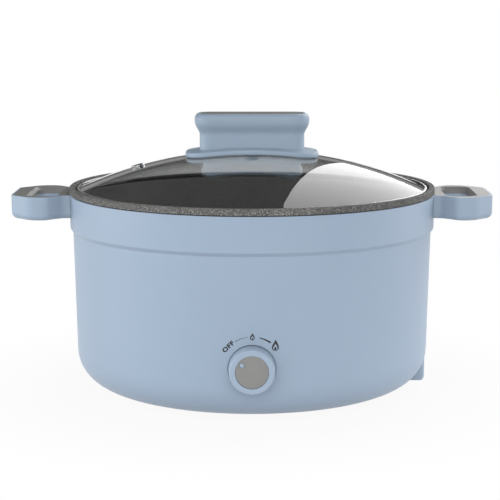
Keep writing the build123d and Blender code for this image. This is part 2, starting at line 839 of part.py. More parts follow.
# ---------------------------------------------------------------- knob
# Turned-looking moulding: hollow cup with a hub for the shaft.
with BuildPart() as knob:
    with BuildSketch(Plane(origin=(0, -knob_back, knob_height), x_dir=(1, 0, 0), z_dir=(0, 0, 1))):
        with BuildLine():
            FilletPolyline(
                [(0, 0), (knob_base_radius, 0), (knob_radius, -knob_depth), (0, -knob_depth)],
                radius=[0, knob_back_edge, knob_front_edge, 0],
                close=True,
            )
        make_face()
    revolve(axis=Axis((0, 0, knob_height), (0, 1, 0)))
    with BuildSketch(front.offset(knob_back)):
        Circle(knob_base_radius - knob_wall)
        Circle(shaft_radius + knob_hub_wall, mode=Mode.SUBTRACT)
    extrude(amount=knob_depth - knob_wall - disc_thickness, mode=Mode.SUBTRACT)
    with BuildSketch(front.offset(knob_back)):
        Circle(shaft_radius)
    extrude(amount=knob_hub_depth, mode=Mode.SUBTRACT)
    with BuildSketch(front.offset(knob_face - disc_thickness)):
        Circle(disc_radius)
    extrude(amount=disc_thickness, mode=Mode.SUBTRACT)
finish_piece(knob, "knob")

pointer_x = -pointer_distance * sin(radians(pointer_angle))
pointer_y = pointer_distance * cos(radians(pointer_angle))
with BuildPart() as knob_disc:
    with BuildSketch(front.offset(knob_face - disc_thickness)):
        Circle(disc_radius - slip_gap)
        with Locations((pointer_x, pointer_y)):
            Circle(pointer_radius + shaft_gap, mode=Mode.SUBTRACT)
    extrude(amount=disc_thickness - disc_sink)
finish_piece(knob_disc, "knob_disc")

with BuildPart() as knob_pointer:
    with BuildSketch(front.offset(knob_face - disc_thickness)):
        with Locations((pointer_x, pointer_y)):
            Circle(pointer_radius)
    extrude(amount=disc_thickness)
finish_piece(knob_pointer, "knob_pointer")

with BuildPart() as thermostat_shaft:
    with BuildSketch(front.offset(thermostat_front - shaft_tail)):
        Circle(shaft_radius)
    extrude(amount=knob_back + knob_hub_depth - thermostat_front + shaft_tail)
finish_piece(thermostat_shaft, "thermostat_shaft")

# ---------------------------------------------------------------- appliance inlet
with BuildPart() as inlet_block:
    with BuildSketch(side.offset(inlet_back)):
        with Locations((0, inlet_centre)):
            Rectangle(inlet_width, inlet_rise)
    extrude(amount=inlet_depth)
    fillet(inlet_block.faces().sort_by(Axis.X)[-1].edges(), inlet_rounding)
    # Tongue over the housing's ledge, with two screw bosses.
    with BuildSketch(Plane.XY.offset(ledge_top)):
        with Locations(((cover_opening_radius + inlet_back) / 2, 0)):
            Rectangle(inlet_back - cover_opening_radius, 2 * (inlet_screw_y + inlet_tongue_margin))
    extrude(amount=inlet_tongue)
    with BuildSketch(Plane.XY.offset(ledge_top)):
        with Locations((inlet_screw_x, inlet_screw_y), (inlet_screw_x, -inlet_screw_y)):
            Circle(inlet_boss_radius)
    extrude(amount=inlet_boss_height)
    with BuildSketch(Plane.XY.offset(ledge_top)):
        with Locations((inlet_screw_x, inlet_screw_y), (inlet_screw_x, -inlet_screw_y)):
            Circle(small_screw_radius + slip_gap)
    extrude(amount=inlet_boss_height - inlet_boss_roof, mode=Mode.SUBTRACT)
    with BuildSketch(side.offset(inlet_back)):
        with Locations((0, inlet_centre)):
            Rectangle(socket_width + 2 * slip_gap, socket_rise + 2 * slip_gap)
    extrude(amount=inlet_depth, mode=Mode.SUBTRACT)
    with BuildSketch(side.offset(inlet_face - socket_flange)):
        with Locations((0, inlet_centre)):
            Rectangle(socket_width + 2 * socket_flange + 2 * slip_gap, socket_rise + 2 * slip_gap)
    extrude(amount=socket_flange, mode=Mode.SUBTRACT)
finish_piece(inlet_block, "inlet_block")

live_height = inlet_centre - pin_offset
earth_height = inlet_centre + pin_offset
pin_places = [(-pin_spacing / 2, live_height), (pin_spacing / 2, live_height), (0, earth_height)]
with BuildPart() as inlet_socket:
    with BuildSketch(side.offset(inlet_back)):
        with Locations((0, inlet_centre)):
            Rectangle(socket_width, socket_rise)
    extrude(amount=inlet_depth)
    with BuildSketch(side.offset(inlet_face - socket_flange)):
        with Locations((0, inlet_centre)):
            Rectangle(socket_width + 2 * socket_flange, socket_rise)
    extrude(amount=socket_flange)
    # Keyed recess: the two corners beside the earth pin are cut off.
    with BuildSketch(side.offset(inlet_face - recess_depth)) as recess:
        with Locations((0, inlet_centre)):
            Rectangle(recess_width, recess_rise)
        chamfer(recess.vertices().group_by(Axis.Y)[-1], recess_chamfer)
    extrude(amount=recess_depth, mode=Mode.SUBTRACT)
    with BuildSketch(side.offset(inlet_back)):
        with Locations(*pin_places):
            Rectangle(pin_width, pin_rise)
    extrude(amount=inlet_depth - recess_depth, mode=Mode.SUBTRACT)
finish_piece(inlet_socket, "inlet_socket")

with BuildPart() as inlet_pins:
    with BuildSketch(side.offset(pin_tail)):
        with Locations(*pin_places):
            Rectangle(pin_width, pin_rise)
    extrude(amount=inlet_face - pin_setback - pin_tail)
    tips = inlet_pins.faces().group_by(Axis.X)[-1]
    chamfer(tips.edges(), pin_chamfer)
finish_piece(inlet_pins, "inlet_pins")

with BuildPart() as inlet_screws:
    inlet_head_seat = floor_bottom + small_head_thickness + part_gap
    with BuildSketch(Plane.XY.offset(floor_bottom + part_gap)):
        with Locations((inlet_screw_x, inlet_screw_y), (inlet_screw_x, -inlet_screw_y)):
            Circle(small_head_radius)
    extrude(amount=small_head_thickness)
    with BuildSketch(Plane.XY.offset(inlet_head_seat)):
        with Locations((inlet_screw_x, inlet_screw_y), (inlet_screw_x, -inlet_screw_y)):
            Circle(small_screw_radius)
    extrude(amount=ledge_top + inlet_screw_length - inlet_head_seat)
finish_piece(inlet_screws, "inlet_screws")


# ---------------------------------------------------------------- side handles
def handle_outline(height, inset):
    """Plan of the right-hand handle at a height, drawn in by an inset all round."""
    near_half = [
        (pan_mouth_radius, handle_neck_half, 0),
        (band_radius + waist_offset, handle_neck_half, waist_rounding),
        (grip_hole_centre - front_shoulder_offset, handle_half_width, front_rounding),
        (grip_hole_centre + back_shoulder_offset, handle_half_width, back_rounding),
        (handle_reach, handle_end_half, end_rounding),
    ]
    corners = near_half + [(x, -y, f) for x, y, f in reversed(near_half)]
    with BuildSketch(Plane.XY.offset(height)) as plan:
        with BuildLine():
            FilletPolyline([(x, y) for x, y, _ in corners], radius=[f for _, _, f in corners], close=True)
        make_face()
        if inset > 0:
            offset(amount=-inset)
    return plan.sketch


def grip_hole(height, growth):
    """Plan of the finger hole at a height, grown all round."""
    with BuildSketch(Plane.XY.offset(height)) as plan:
        with Locations((grip_hole_centre, 0)):
            RectangleRounded(grip_hole_length + 2 * growth, grip_hole_width + 2 * growth, grip_hole_corner + growth)
    return plan.sketch


# Room inside the shell, outside its solid root and the wall round the finger hole.
with BuildPart() as handle_cavity:
    extrude(handle_outline(handle_bottom + handle_wall, handle_wall), amount=handle_thickness)
    extrude(
        grip_hole(handle_bottom, lining_thickness + slip_gap + hole_wall),
        amount=2 * handle_thickness,
        mode=Mode.SUBTRACT,
    )
    with BuildSketch(Plane.XY.offset(handle_bottom)):
        with Locations((cavity_start / 2, 0)):
            Rectangle(cavity_start, 2 * handle_half_width)
    extrude(amount=2 * handle_thickness, mode=Mode.SUBTRACT)

# Hollow moulded shell, open on top under its cover plate.
with BuildPart() as right_handle_shell:
    extrude(handle_outline(handle_bottom, 0), amount=handle_thickness)
    fillet(right_handle_shell.faces().sort_by(Axis.Z)[0].edges(), handle_rounding)
    extrude(grip_hole(handle_bottom, 0), amount=handle_thickness, mode=Mode.SUBTRACT)
    hole_rim = right_handle_shell.faces().sort_by(Axis.Z)[0].inner_wires()[0].edges()
    fillet(hole_rim, grip_hole_edge)
    add(handle_cavity.part, mode=Mode.SUBTRACT)
    extrude(
        grip_hole(band_top - lining_depth - slip_gap, lining_thickness + slip_gap),
        amount=handle_thickness,
        mode=Mode.SUBTRACT,
    )
    extrude(handle_outline(cover_bottom, cover_inset), amount=cover_plate, mode=Mode.SUBTRACT)
    with BuildSketch(Plane.XY.offset(handle_bottom)):
        Circle(band_radius + shaft_gap)
    extrude(amount=handle_thickness, mode=Mode.SUBTRACT)
    with BuildSketch(side.offset(handle_head_seat)):
        with Locations((handle_screw_y, handle_screw_height), (-handle_screw_y, handle_screw_height)):
            Circle(small_screw_radius + slip_gap)
    extrude(amount=handle_screw_length + screw_end_gap, mode=Mode.SUBTRACT)
finish_piece(right_handle_shell, "right_handle_shell")

# Inlaid top plate with a lining that turns down into the finger hole.
with BuildPart() as right_handle_cover:
    extrude(handle_outline(cover_bottom, cover_inset + slip_gap), amount=cover_plate)
    extrude(grip_hole(band_top - lining_depth, lining_thickness), amount=lining_depth)
    extrude(grip_hole(handle_bottom, 0), amount=handle_thickness, mode=Mode.SUBTRACT)
    lining_top = right_handle_cover.faces().sort_by(Axis.Z)[-1].inner_wires()[0].edges()
    chamfer(lining_top, lining_chamfer)
    with BuildSketch(Plane.XY.offset(handle_bottom)):
        Circle(band_radius + part_gap)
    extrude(amount=handle_thickness, mode=Mode.SUBTRACT)
finish_piece(right_handle_cover, "right_handle_cover")

with BuildPart() as left_handle_shell:
    mirror(right_handle_shell.part, about=Plane.YZ)
finish_piece(left_handle_shell, "left_handle_shell")

with BuildPart() as left_handle_cover:
    mirror(right_handle_cover.part, about=Plane.YZ)
finish_piece(left_handle_cover, "left_handle_cover")

# Screws from inside the band; their heads lie between the band and the pan.
with BuildPart() as handle_screws:
    with BuildSketch(side.offset(handle_head_seat - handle_head_thickness)):
        with Locations((handle_screw_y, handle_screw_height), (-handle_screw_y, handle_screw_height)):
            Circle(small_head_radius)
    extrude(amount=handle_head_thickness)
    with BuildSketch(side.offset(handle_head_seat)):
        with Locations((handle_screw_y, handle_screw_height), (-handle_screw_y, handle_screw_height)):
            Circle(small_screw_radius)
    extrude(amount=handle_screw_length)
    mirror(about=Plane.YZ)
finish_piece(handle_screws, "handle_screws")


# ---------------------------------------------------------------- wiring
def cable(route, bends):
    """Round cable along straight runs joined by arcs."""
    with BuildPart() as run:
        with BuildLine() as path:
            FilletPolyline(route, radius=bends)
        with BuildSketch(path.line ^ 0):
            Circle(cable_radius)
        sweep(path=path.line)
    return run.part


terminal_y = tab_length - thermostat_back
terminal_height = knob_height - thermostat_tab_drop
neutral_foot, live_foot = element_feet

# From the inlet's live pin to the thermal fuse.
with BuildPart() as live_cable:
    live_route = [
        (pin_tail, -pin_spacing / 2, live_height),
        (pin_tail - 15, -pin_spacing / 2, live_height),
        (fuse_x + fuse_length / 2 + 13, fuse_y, fuse_height),
        (fuse_x + fuse_length / 2, fuse_y, fuse_height),
    ]
    add(cable(live_route, [6.0, 5.5]))
finish_piece(live_cable, "live_cable")

# From the fuse to the thermostat's left terminal.
with BuildPart() as fused_cable:
    fused_route = [
        (fuse_x - fuse_length / 2, fuse_y, fuse_height),
        (fuse_x - fuse_length / 2 - 41, fuse_y, fuse_height),
        (-thermostat_tab_x, terminal_y + 45, terminal_height),
        (-thermostat_tab_x, terminal_y, terminal_height),
    ]
    add(cable(fused_route, [20.0, 20.0]))
finish_piece(fused_cable, "fused_cable")

# From the thermostat's right terminal to one end of the element.
with BuildPart() as switched_cable:
    switched_route = [
        (thermostat_tab_x, terminal_y, terminal_height),
        (thermostat_tab_x, terminal_y + 17, terminal_height),
        (*live_foot, tab_bottom - 15),
        (*live_foot, tab_bottom),
    ]
    add(cable(switched_route, [8.0, 5.5]))
finish_piece(switched_cable, "switched_cable")

# From the element's other end back to the inlet's neutral pin.
with BuildPart() as neutral_cable:
    neutral_route = [
        (pin_tail, pin_spacing / 2, live_height),
        (pin_tail - 19, pin_spacing / 2, live_height),
        (*neutral_foot, live_height),
        (*neutral_foot, tab_bottom),
    ]
    add(cable(neutral_route, [12.0, 9.0]))
finish_piece(neutral_cable, "neutral_cable")

# Earth lug under the steel ring, and the cable up to it.
with BuildPart() as earth_lug:
    with BuildSketch(Plane.XY.offset(ring_bottom - earth_lug_thickness)):
        with Locations((earth_x, earth_y)):
            Circle(earth_lug_radius)
    extrude(amount=earth_lug_thickness)
finish_piece(earth_lug, "earth_lug")

with BuildPart() as earth_cable:
    earth_route = [
        (pin_tail, 0, earth_height),
        (earth_x, 0, earth_height),
        (earth_x, earth_y, ring_bottom - 20),
        (earth_x, earth_y, ring_bottom - earth_lug_thickness),
    ]
    add(cable(earth_route, [6.0, 9.0]))
finish_piece(earth_cable, "earth_cable")

# ---------------------------------------------------------------- lid
# Tempered glass cut from a sphere, with a screw hole and a tilted vent hole.
vent_rise = sqrt(dome_radius**2 - vent_x**2)
vent_plane = Plane(origin=(vent_x, 0, dome_centre + vent_rise), x_dir=(0, 1, 0), z_dir=(vent_x, 0, vent_rise))
with BuildPart() as lid_glass:
    with BuildSketch(Plane.XY.offset(lid_seat)):
        Circle(glass_radius)
    extrude(amount=head_top - lid_seat)
    with Locations((0, 0, dome_centre)):
        Sphere(dome_radius, mode=Mode.INTERSECT)
        Sphere(inside_dome_radius, mode=Mode.SUBTRACT)
    with BuildSketch(Plane.XY.offset(rim_top)):
        Circle(lid_screw_radius + lid_screw_clear)
    extrude(amount=head_top - rim_top, mode=Mode.SUBTRACT)
    with BuildSketch(vent_plane):
        Circle(vent_hole_radius)
    extrude(amount=2 * glass_thickness, both=True, mode=Mode.SUBTRACT)
finish_piece(lid_glass, "lid_glass")

# Rolled steel channel round the glass's edge; it stands on the pan's seat.
with BuildPart() as lid_rim_band:
    lip_radius = channel_web - channel_lip
    revolve(
        section(
            [
                (lip_radius, lid_band_bottom, 0),
                (lid_band_outer, lid_band_bottom, channel_floor),
                (lid_band_outer, lid_band_top, channel_roof),
                (lip_radius, lid_band_top, channel_roof / 3),
                (lip_radius, lid_band_top - channel_roof, 0),
                (channel_web, lid_band_top - channel_roof, 0),
                (channel_web, lid_band_bottom + channel_floor, 0),
                (lip_radius, lid_band_bottom + channel_floor, 0),
            ]
        ),
        axis=Axis.Z,
    )
finish_piece(lid_rim_band, "lid_rim_band")

# Steel steam eyelet, rolled over on both sides of the glass.
with BuildPart() as steam_eyelet:
    stem = vent_hole_radius - slip_gap
    rivet_top = -glass_thickness - 2 * slip_gap
    eyelet_profile = section(
        [
            (vent_bore_radius, rivet_top - rivet_thickness, 0),
            (stem + rivet_lip, rivet_top - rivet_thickness, rivet_edge),
            (stem + rivet_lip, rivet_top, 0),
            (stem, rivet_top, 0),
            (stem, slip_gap, 0),
            (vent_flange_radius, slip_gap, 0),
            (vent_flange_radius, vent_collar, vent_collar_edge),
            (vent_bore_radius, vent_collar, vent_bore_edge),
        ]
    )
    with Locations(vent_plane):
        add(revolve(eyelet_profile, axis=Axis.Z, mode=Mode.PRIVATE))
finish_piece(steam_eyelet, "steam_eyelet")

# Silicone pad between the lid handle and the glass, let into the handle's skirt.
with BuildPart() as lid_handle_pad:
    with BuildSketch(Plane.XY.offset(rim_top)):
        RectangleRounded(pad_length, pad_width, pad_corner)
        Circle(lid_screw_radius + lid_screw_clear, mode=Mode.SUBTRACT)
    extrude(amount=head_top - rim_top)
    with Locations((0, 0, dome_centre)):
        Sphere(pad_radius, mode=Mode.INTERSECT)
        Sphere(dome_radius, mode=Mode.SUBTRACT)
finish_piece(lid_handle_pad, "lid_handle_pad")

# Lid handle: a skirt that follows the dome, an upright neck and a flared head.
with BuildPart() as handle_skirt:
    with BuildSketch(Plane.XY.offset(rim_top)):
        RectangleRounded(skirt_length, skirt_width, skirt_corner)
    extrude(amount=head_top - rim_top)
    with Locations((0, 0, dome_centre)):
        Sphere(skirt_radius, mode=Mode.INTERSECT)
        Sphere(dome_radius + slip_gap, mode=Mode.SUBTRACT)
    fillet(handle_skirt.edges().filter_by(Axis.Z, reverse=True), skirt_edge)

# Pocket under the skirt that takes the pad.
with BuildPart() as pad_pocket:
    with BuildSketch(Plane.XY.offset(rim_top)):
        RectangleRounded(pad_length + 2 * slip_gap, pad_width + 2 * slip_gap, pad_corner + slip_gap)
    extrude(amount=head_top - rim_top)
    with Locations((0, 0, dome_centre)):
        Sphere(pad_radius, mode=Mode.INTERSECT)


def handle_profile(half_width):
    """Half of the upright section: neck, flare and rounded head."""
    return [
        (0, dome_top - neck_root, 0),
        (half_width, dome_top - neck_root, 0),
        (half_width, flare_start, neck_rounding),
        (half_width + flare, flare_end, flare_rounding),
        (half_width + flare, head_top, head_edge),
        (0, head_top, 0),
    ]


with BuildPart() as lid_handle:
    # The plan is a rounded rectangle: two crossed bars and four turned corners.
    corner_x = neck_length / 2 - neck_corner
    corner_y = neck_width / 2 - neck_corner
    with Locations((0, corner_y, 0)):
        add(extrude(section(handle_profile(neck_length / 2)), amount=2 * corner_y, mode=Mode.PRIVATE))
    mirror(about=Plane.YZ)
    long_bar = extrude(section(handle_profile(neck_width / 2)), amount=2 * corner_x, mode=Mode.PRIVATE)
    with Locations(Location((-corner_x, 0, 0), (0, 0, 90))):
        add(long_bar)
        add(mirror(long_bar, about=Plane.YZ, mode=Mode.PRIVATE))
    turned_corner = revolve(section(handle_profile(neck_corner)), axis=Axis.Z, mode=Mode.PRIVATE)
    with GridLocations(2 * corner_x, 2 * corner_y, 2, 2):
        add(turned_corner)
    with Locations((0, 0, dome_centre)):
        Sphere(dome_radius + slip_gap, mode=Mode.SUBTRACT)
    add(handle_skirt.part)
    add(pad_pocket.part, mode=Mode.SUBTRACT)
    # Hollow inside, with a boss for the screw, closed by the cap.
    cavity_floor = dome_top + grip_floor
    with BuildSketch(Plane.XY.offset(cavity_floor)):
        RectangleRounded(neck_length - 2 * grip_wall, neck_width - 2 * grip_wall, neck_corner - grip_wall)
        Circle(lid_boss_radius, mode=Mode.SUBTRACT)
    extrude(amount=head_top - cavity_floor, mode=Mode.SUBTRACT)
    with BuildSketch(Plane.XY.offset(lid_boss_top)):
        Circle(lid_boss_radius + slip_gap)
    extrude(amount=lid_boss_drop, mode=Mode.SUBTRACT)
    with BuildSketch(Plane.XY.offset(head_top - cap_sink - cap_thickness)):
        RectangleRounded(neck_length - 2 * cap_inset, neck_width - 2 * cap_inset, neck_corner - cap_inset)
    extrude(amount=cap_thickness + cap_sink, mode=Mode.SUBTRACT)
    with BuildSketch(Plane.XY.offset(dome_top - neck_root)):
        Circle(lid_screw_radius + slip_gap)
    extrude(amount=lid_boss_top - lid_boss_roof - dome_top + neck_root, mode=Mode.SUBTRACT)
finish_piece(lid_handle, "lid_handle")

with BuildPart() as lid_handle_cap:
    cap_border = cap_inset + slip_gap
    with BuildSketch(Plane.XY.offset(head_top - cap_sink - cap_thickness)):
        RectangleRounded(neck_length - 2 * cap_border, neck_width - 2 * cap_border, neck_corner - cap_border)
    extrude(amount=cap_thickness)
    fillet(lid_handle_cap.faces().sort_by(Axis.Z)[-1].edges(), cap_edge)
finish_piece(lid_handle_cap, "lid_handle_cap")

# Silicone washer under the glass; its top follows the dome's inside.
with BuildPart() as lid_washer:
    with BuildSketch(Plane.XY.offset(washer_bottom)):
        Circle(washer_radius)
        Circle(lid_screw_radius + slip_gap, mode=Mode.SUBTRACT)
    extrude(amount=2 * washer_thickness)
    with Locations((0, 0, dome_centre)):
        Sphere(inside_dome_radius - slip_gap, mode=Mode.INTERSECT)
finish_piece(lid_washer, "lid_washer")

with BuildPart() as lid_screw:
    with BuildSketch(Plane.XY.offset(washer_bottom - lid_head_thickness)):
        Circle(lid_head_radius)
    extrude(amount=lid_head_thickness)
    fillet(lid_screw.edges().group_by(Axis.Z)[0], lid_head_edge)
    with BuildSketch(Plane.XY.offset(washer_bottom)):
        Circle(lid_screw_radius)
    extrude(amount=lid_boss_top - lid_boss_roof - lid_screw_margin - washer_bottom)
finish_piece(lid_screw, "lid_screw")
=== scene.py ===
import math

import bmesh
import bpy
from mathutils import Matrix, Vector


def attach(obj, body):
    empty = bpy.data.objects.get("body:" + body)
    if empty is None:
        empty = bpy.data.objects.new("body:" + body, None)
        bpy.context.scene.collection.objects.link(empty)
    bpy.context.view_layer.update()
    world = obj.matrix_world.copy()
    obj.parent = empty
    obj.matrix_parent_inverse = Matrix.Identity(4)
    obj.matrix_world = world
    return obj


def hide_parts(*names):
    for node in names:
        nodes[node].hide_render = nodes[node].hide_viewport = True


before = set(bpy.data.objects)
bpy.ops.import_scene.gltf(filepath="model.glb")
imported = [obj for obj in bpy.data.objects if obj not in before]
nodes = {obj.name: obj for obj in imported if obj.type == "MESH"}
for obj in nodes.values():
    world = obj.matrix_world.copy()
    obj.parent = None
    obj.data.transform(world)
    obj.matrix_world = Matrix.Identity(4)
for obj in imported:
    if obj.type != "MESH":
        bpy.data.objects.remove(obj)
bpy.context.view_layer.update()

# ------------------------------------------------------------------ camera
# A long lens in front of the pot and a little above its rim, so the rim shows as a
# slim ellipse and the knob is seen almost square on.
camera_data = bpy.data.cameras.new("camera")
camera_data.sensor_width = 36.0
camera_data.lens = 108.91
camera_data.shift_x = -0.004
camera = bpy.data.objects.new("camera", camera_data)
camera.location = (0.0, -1.2424, 0.3184)
camera.rotation_euler = (math.radians(80.531), 0.0, 0.0)
bpy.context.scene.collection.objects.link(camera)
bpy.context.scene.camera = camera
bpy.context.scene.view_settings.view_transform = "Standard"

# ------------------------------------------------------------------ studio
# A white sweep under a dim ceiling. Whatever is seen directly or straight through glass
# is white, matt surfaces are lit from a broad bright horizon, and reflections in glass
# and metal show the white floor, a low strip of light and a dark ceiling.
white = (1.0, 1.0, 1.0, 1.0)
before_first = 0.5  # a count of bounces lies below this until the first one


def feed(tree, node, inputs):
    """Link each named input to a socket, or give it a constant."""
    for name, value in inputs.items():
        if isinstance(value, bpy.types.NodeSocket):
            tree.links.new(value, node.inputs[name])
        else:
            node.inputs[name].default_value = value
    return node


def add_node(tree, kind, inputs):
    """New shader node with its inputs fed."""
    return feed(tree, tree.nodes.new(kind), inputs)


def add_math(tree, operation, first, second):
    """Value worked out from two others."""
    node = tree.nodes.new("ShaderNodeMath")
    node.operation = operation
    return feed(tree, node, {0: first, 1: second}).outputs["Value"]


def add_vector_math(tree, operation, *operands):
    """Vector worked out from others, or the length of one."""
    node = tree.nodes.new("ShaderNodeVectorMath")
    node.operation = operation
    feed(tree, node, dict(enumerate(operands)))
    return node.outputs["Value" if operation == "LENGTH" else "Vector"]


def map_range(tree, value, start, end, low=0.0, high=1.0):
    """Value that runs from low to high while another runs from start to end."""
    scale = {"Value": value, "From Min": start, "From Max": end, "To Min": low, "To Max": high}
    return add_node(tree, "ShaderNodeMapRange", scale).outputs["Result"]


def mix_colours(tree, factor, low, high):
    """Colour between two others."""
    mix = tree.nodes.new("ShaderNodeMix")
    mix.data_type = "RGBA"
    return feed(tree, mix, {0: factor, 6: low, 7: high}).outputs[2]


world = bpy.data.worlds.new("studio")
bpy.context.scene.world = world
world.use_nodes = True
sky = world.node_tree
sky_direction = sky.nodes.new("ShaderNodeTexCoord").outputs["Generated"]
sky_height = add_node(sky, "ShaderNodeSeparateXYZ", {"Vector": sky_direction}).outputs["Z"]
sky_rays = sky.nodes.new("ShaderNodeLightPath").outputs


def sky_glow(stops):
    """Grey that follows the sine of the elevation, from pairs of height and glow."""
    ramp = add_node(sky, "ShaderNodeValToRGB", {"Fac": sky_height})
    while len(ramp.color_ramp.elements) < len(stops):
        ramp.color_ramp.elements.new(0.5)
    for element, (height, glow) in zip(ramp.color_ramp.elements, stops):
        element.position = height
        element.color = (glow, glow, glow, 1.0)
    return ramp.outputs["Color"]


broad_horizon = sky_glow([(0.0, 0.55), (0.15, 0.86), (0.34, 0.86), (0.56, 0.14)])
low_strip = sky_glow(
    [(0.0, 1.0), (0.02, 0.12), (0.07, 0.12), (0.10, 0.35), (0.16, 0.32), (0.20, 0.04), (0.34, 0.01)]
)
matt_bounces = sky_rays["Diffuse Depth"]
all_bounces = add_math(sky, "ADD", matt_bounces, sky_rays["Glossy Depth"])
seen = add_math(sky, "MAXIMUM", sky_rays["Is Camera Ray"], sky_rays["Is Transmission Ray"])
mirrored = add_math(sky, "MAXIMUM", sky_rays["Is Glossy Ray"], sky_rays["Is Transmission Ray"])
straight = add_math(sky, "MULTIPLY", seen, add_math(sky, "LESS_THAN", all_bounces, before_first))
polished = add_math(
    sky, "MULTIPLY", mirrored, add_math(sky, "LESS_THAN", matt_bounces, before_first)
)
sky_lit = mix_colours(sky, straight, mix_colours(sky, polished, broad_horizon, low_strip), white)
feed(sky, sky.nodes["Background"], {"Color": sky_lit})

floor_radius = 3.0
floor_mesh = bmesh.new()
bmesh.ops.create_circle(floor_mesh, cap_ends=True, segments=96, radius=floor_radius)
floor_data = bpy.data.meshes.new("floor")
floor_mesh.to_mesh(floor_data)
floor_mesh.free()
studio_floor = bpy.data.objects.new("floor", floor_data)
bpy.context.scene.collection.objects.link(studio_floor)

floor_finish = bpy.data.materials.new("white sweep")
floor_finish.use_nodes = True
sweep = floor_finish.node_tree
sweep.nodes.clear()
sweep_place = sweep.nodes.new("ShaderNodeTexCoord").outputs["Object"]
sweep_reach = add_vector_math(sweep, "LENGTH", sweep_place)
sweep_rays = sweep.nodes.new("ShaderNodeLightPath").outputs
# Near the pot a share of the floor stays matt and takes its shadow.
sweep_share = map_range(sweep, sweep_reach, start=0.16, end=0.28, low=0.93, high=1.0)
# Further out it throws less light back.
sweep_tone = map_range(sweep, sweep_reach, start=0.40, end=0.90, low=0.72, high=0.20)
sweep_seen = add_math(
    sweep, "MAXIMUM", sweep_rays["Is Camera Ray"], sweep_rays["Is Transmission Ray"]
)
sweep_shown = add_math(sweep, "MAXIMUM", sweep_seen, sweep_rays["Is Glossy Ray"])
sweep_mix = add_node(
    sweep,
    "ShaderNodeMixShader",
    {
        "Fac": add_math(sweep, "MULTIPLY", sweep_shown, sweep_share),
        1: add_node(sweep, "ShaderNodeBsdfDiffuse", {"Color": sweep_tone}).outputs["BSDF"],
        2: sweep.nodes.new("ShaderNodeEmission").outputs["Emission"],
    },
)
add_node(sweep, "ShaderNodeOutputMaterial", {"Surface": sweep_mix.outputs["Shader"]})
studio_floor.data.materials.append(floor_finish)


def soft_panel(name, centre, look, width, rise, radiance):
    """Soft light that looks along a direction; only reflections show the panel itself."""
    data = bpy.data.lights.new(name, "AREA")
    data.shape = "RECTANGLE"
    data.size, data.size_y = width, rise
    data.energy = radiance * math.pi * width * rise
    panel = bpy.data.objects.new(name, data)
    panel.location = centre
    panel.rotation_euler = Vector(look).to_track_quat("-Z", "Y").to_euler()
    panel.visible_camera = False
    panel.visible_transmission = False
    bpy.context.scene.collection.objects.link(panel)


soft_panel(
    "panel behind",
    centre=(1.367, 1.591, 1.27), look=(-0.0995, -0.79, -0.605), width=2.2, rise=1.83, radiance=2.5,
)
soft_panel(
    "panel front",
    centre=(-0.15, -2.3, 1.35), look=(0.15, 2.3, -1.22), width=3.0, rise=1.6, radiance=1.82,
)
soft_panel(
    "panel left",
    centre=(-1.75, -0.10, 0.38), look=(1.75, 0.10, -0.28), width=1.1, rise=0.9, radiance=3.1,
)
soft_panel(
    "panel right",
    centre=(1.75, 0.40, 0.38), look=(-1.75, -0.40, -0.28), width=1.0, rise=0.9, radiance=2.4,
)

# ------------------------------------------------------------------ outer housing
# One polypropylene moulding: rounded underside, slightly tapered wall, shoulder and
# upright band. Its tool was spark eroded, which leaves a fine satin grain.
mm = 0.001  # the scene is in metres
tone_low, tone_high = 0.3, 0.7  # where a noise has its dark and light extremes
cast_saturation, cast_value = 0.2, 0.6  # of the colour that a piece throws on its neighbours


def srgb(red, green, blue):
    """Scene colour for a screen colour in steps of 0 to 255."""
    parts = [step / 255 for step in (red, green, blue)]
    return (*(p / 12.92 if p <= 0.04045 else ((p + 0.055) / 1.055) ** 2.4 for p in parts), 1.0)


def start_texture(name):
    """Shader group that turns a place and a scale into a tone and a height.

    It comes with the two sockets that give the place and the scale inside it.
    """
    group = bpy.data.node_groups.new(name, "ShaderNodeTree")
    group.interface.new_socket("Vector", in_out="INPUT", socket_type="NodeSocketVector")
    group.interface.new_socket("Scale", in_out="INPUT", socket_type="NodeSocketFloat")
    group.interface.new_socket("Tone", in_out="OUTPUT", socket_type="NodeSocketFloat")
    group.interface.new_socket("Height", in_out="OUTPUT", socket_type="NodeSocketFloat")
    given = group.nodes.new("NodeGroupInput").outputs
    return group, given["Vector"], given["Scale"]


def end_texture(group, tone, height):
    """Give a texture group its two results."""
    add_node(group, "NodeGroupOutput", {"Tone": tone, "Height": height})


def add_noise(tree, place, scale, detail):
    """Cloudy noise, with a scale per metre and a number of finer layers."""
    inputs = {"Vector": place, "Scale": scale, "Detail": detail}
    return add_node(tree, "ShaderNodeTexNoise", inputs).outputs["Fac"]


# Fine even grain for the height, and slow drifts of tone from the way a moulding fills.
moulded_grain, grain_place, grain_scale = start_texture("moulded grain")
end_texture(
    moulded_grain,
    tone=add_noise(moulded_grain, grain_place, 11.0, detail=3.0),
    height=add_noise(moulded_grain, grain_place, grain_scale, detail=2.0),
)


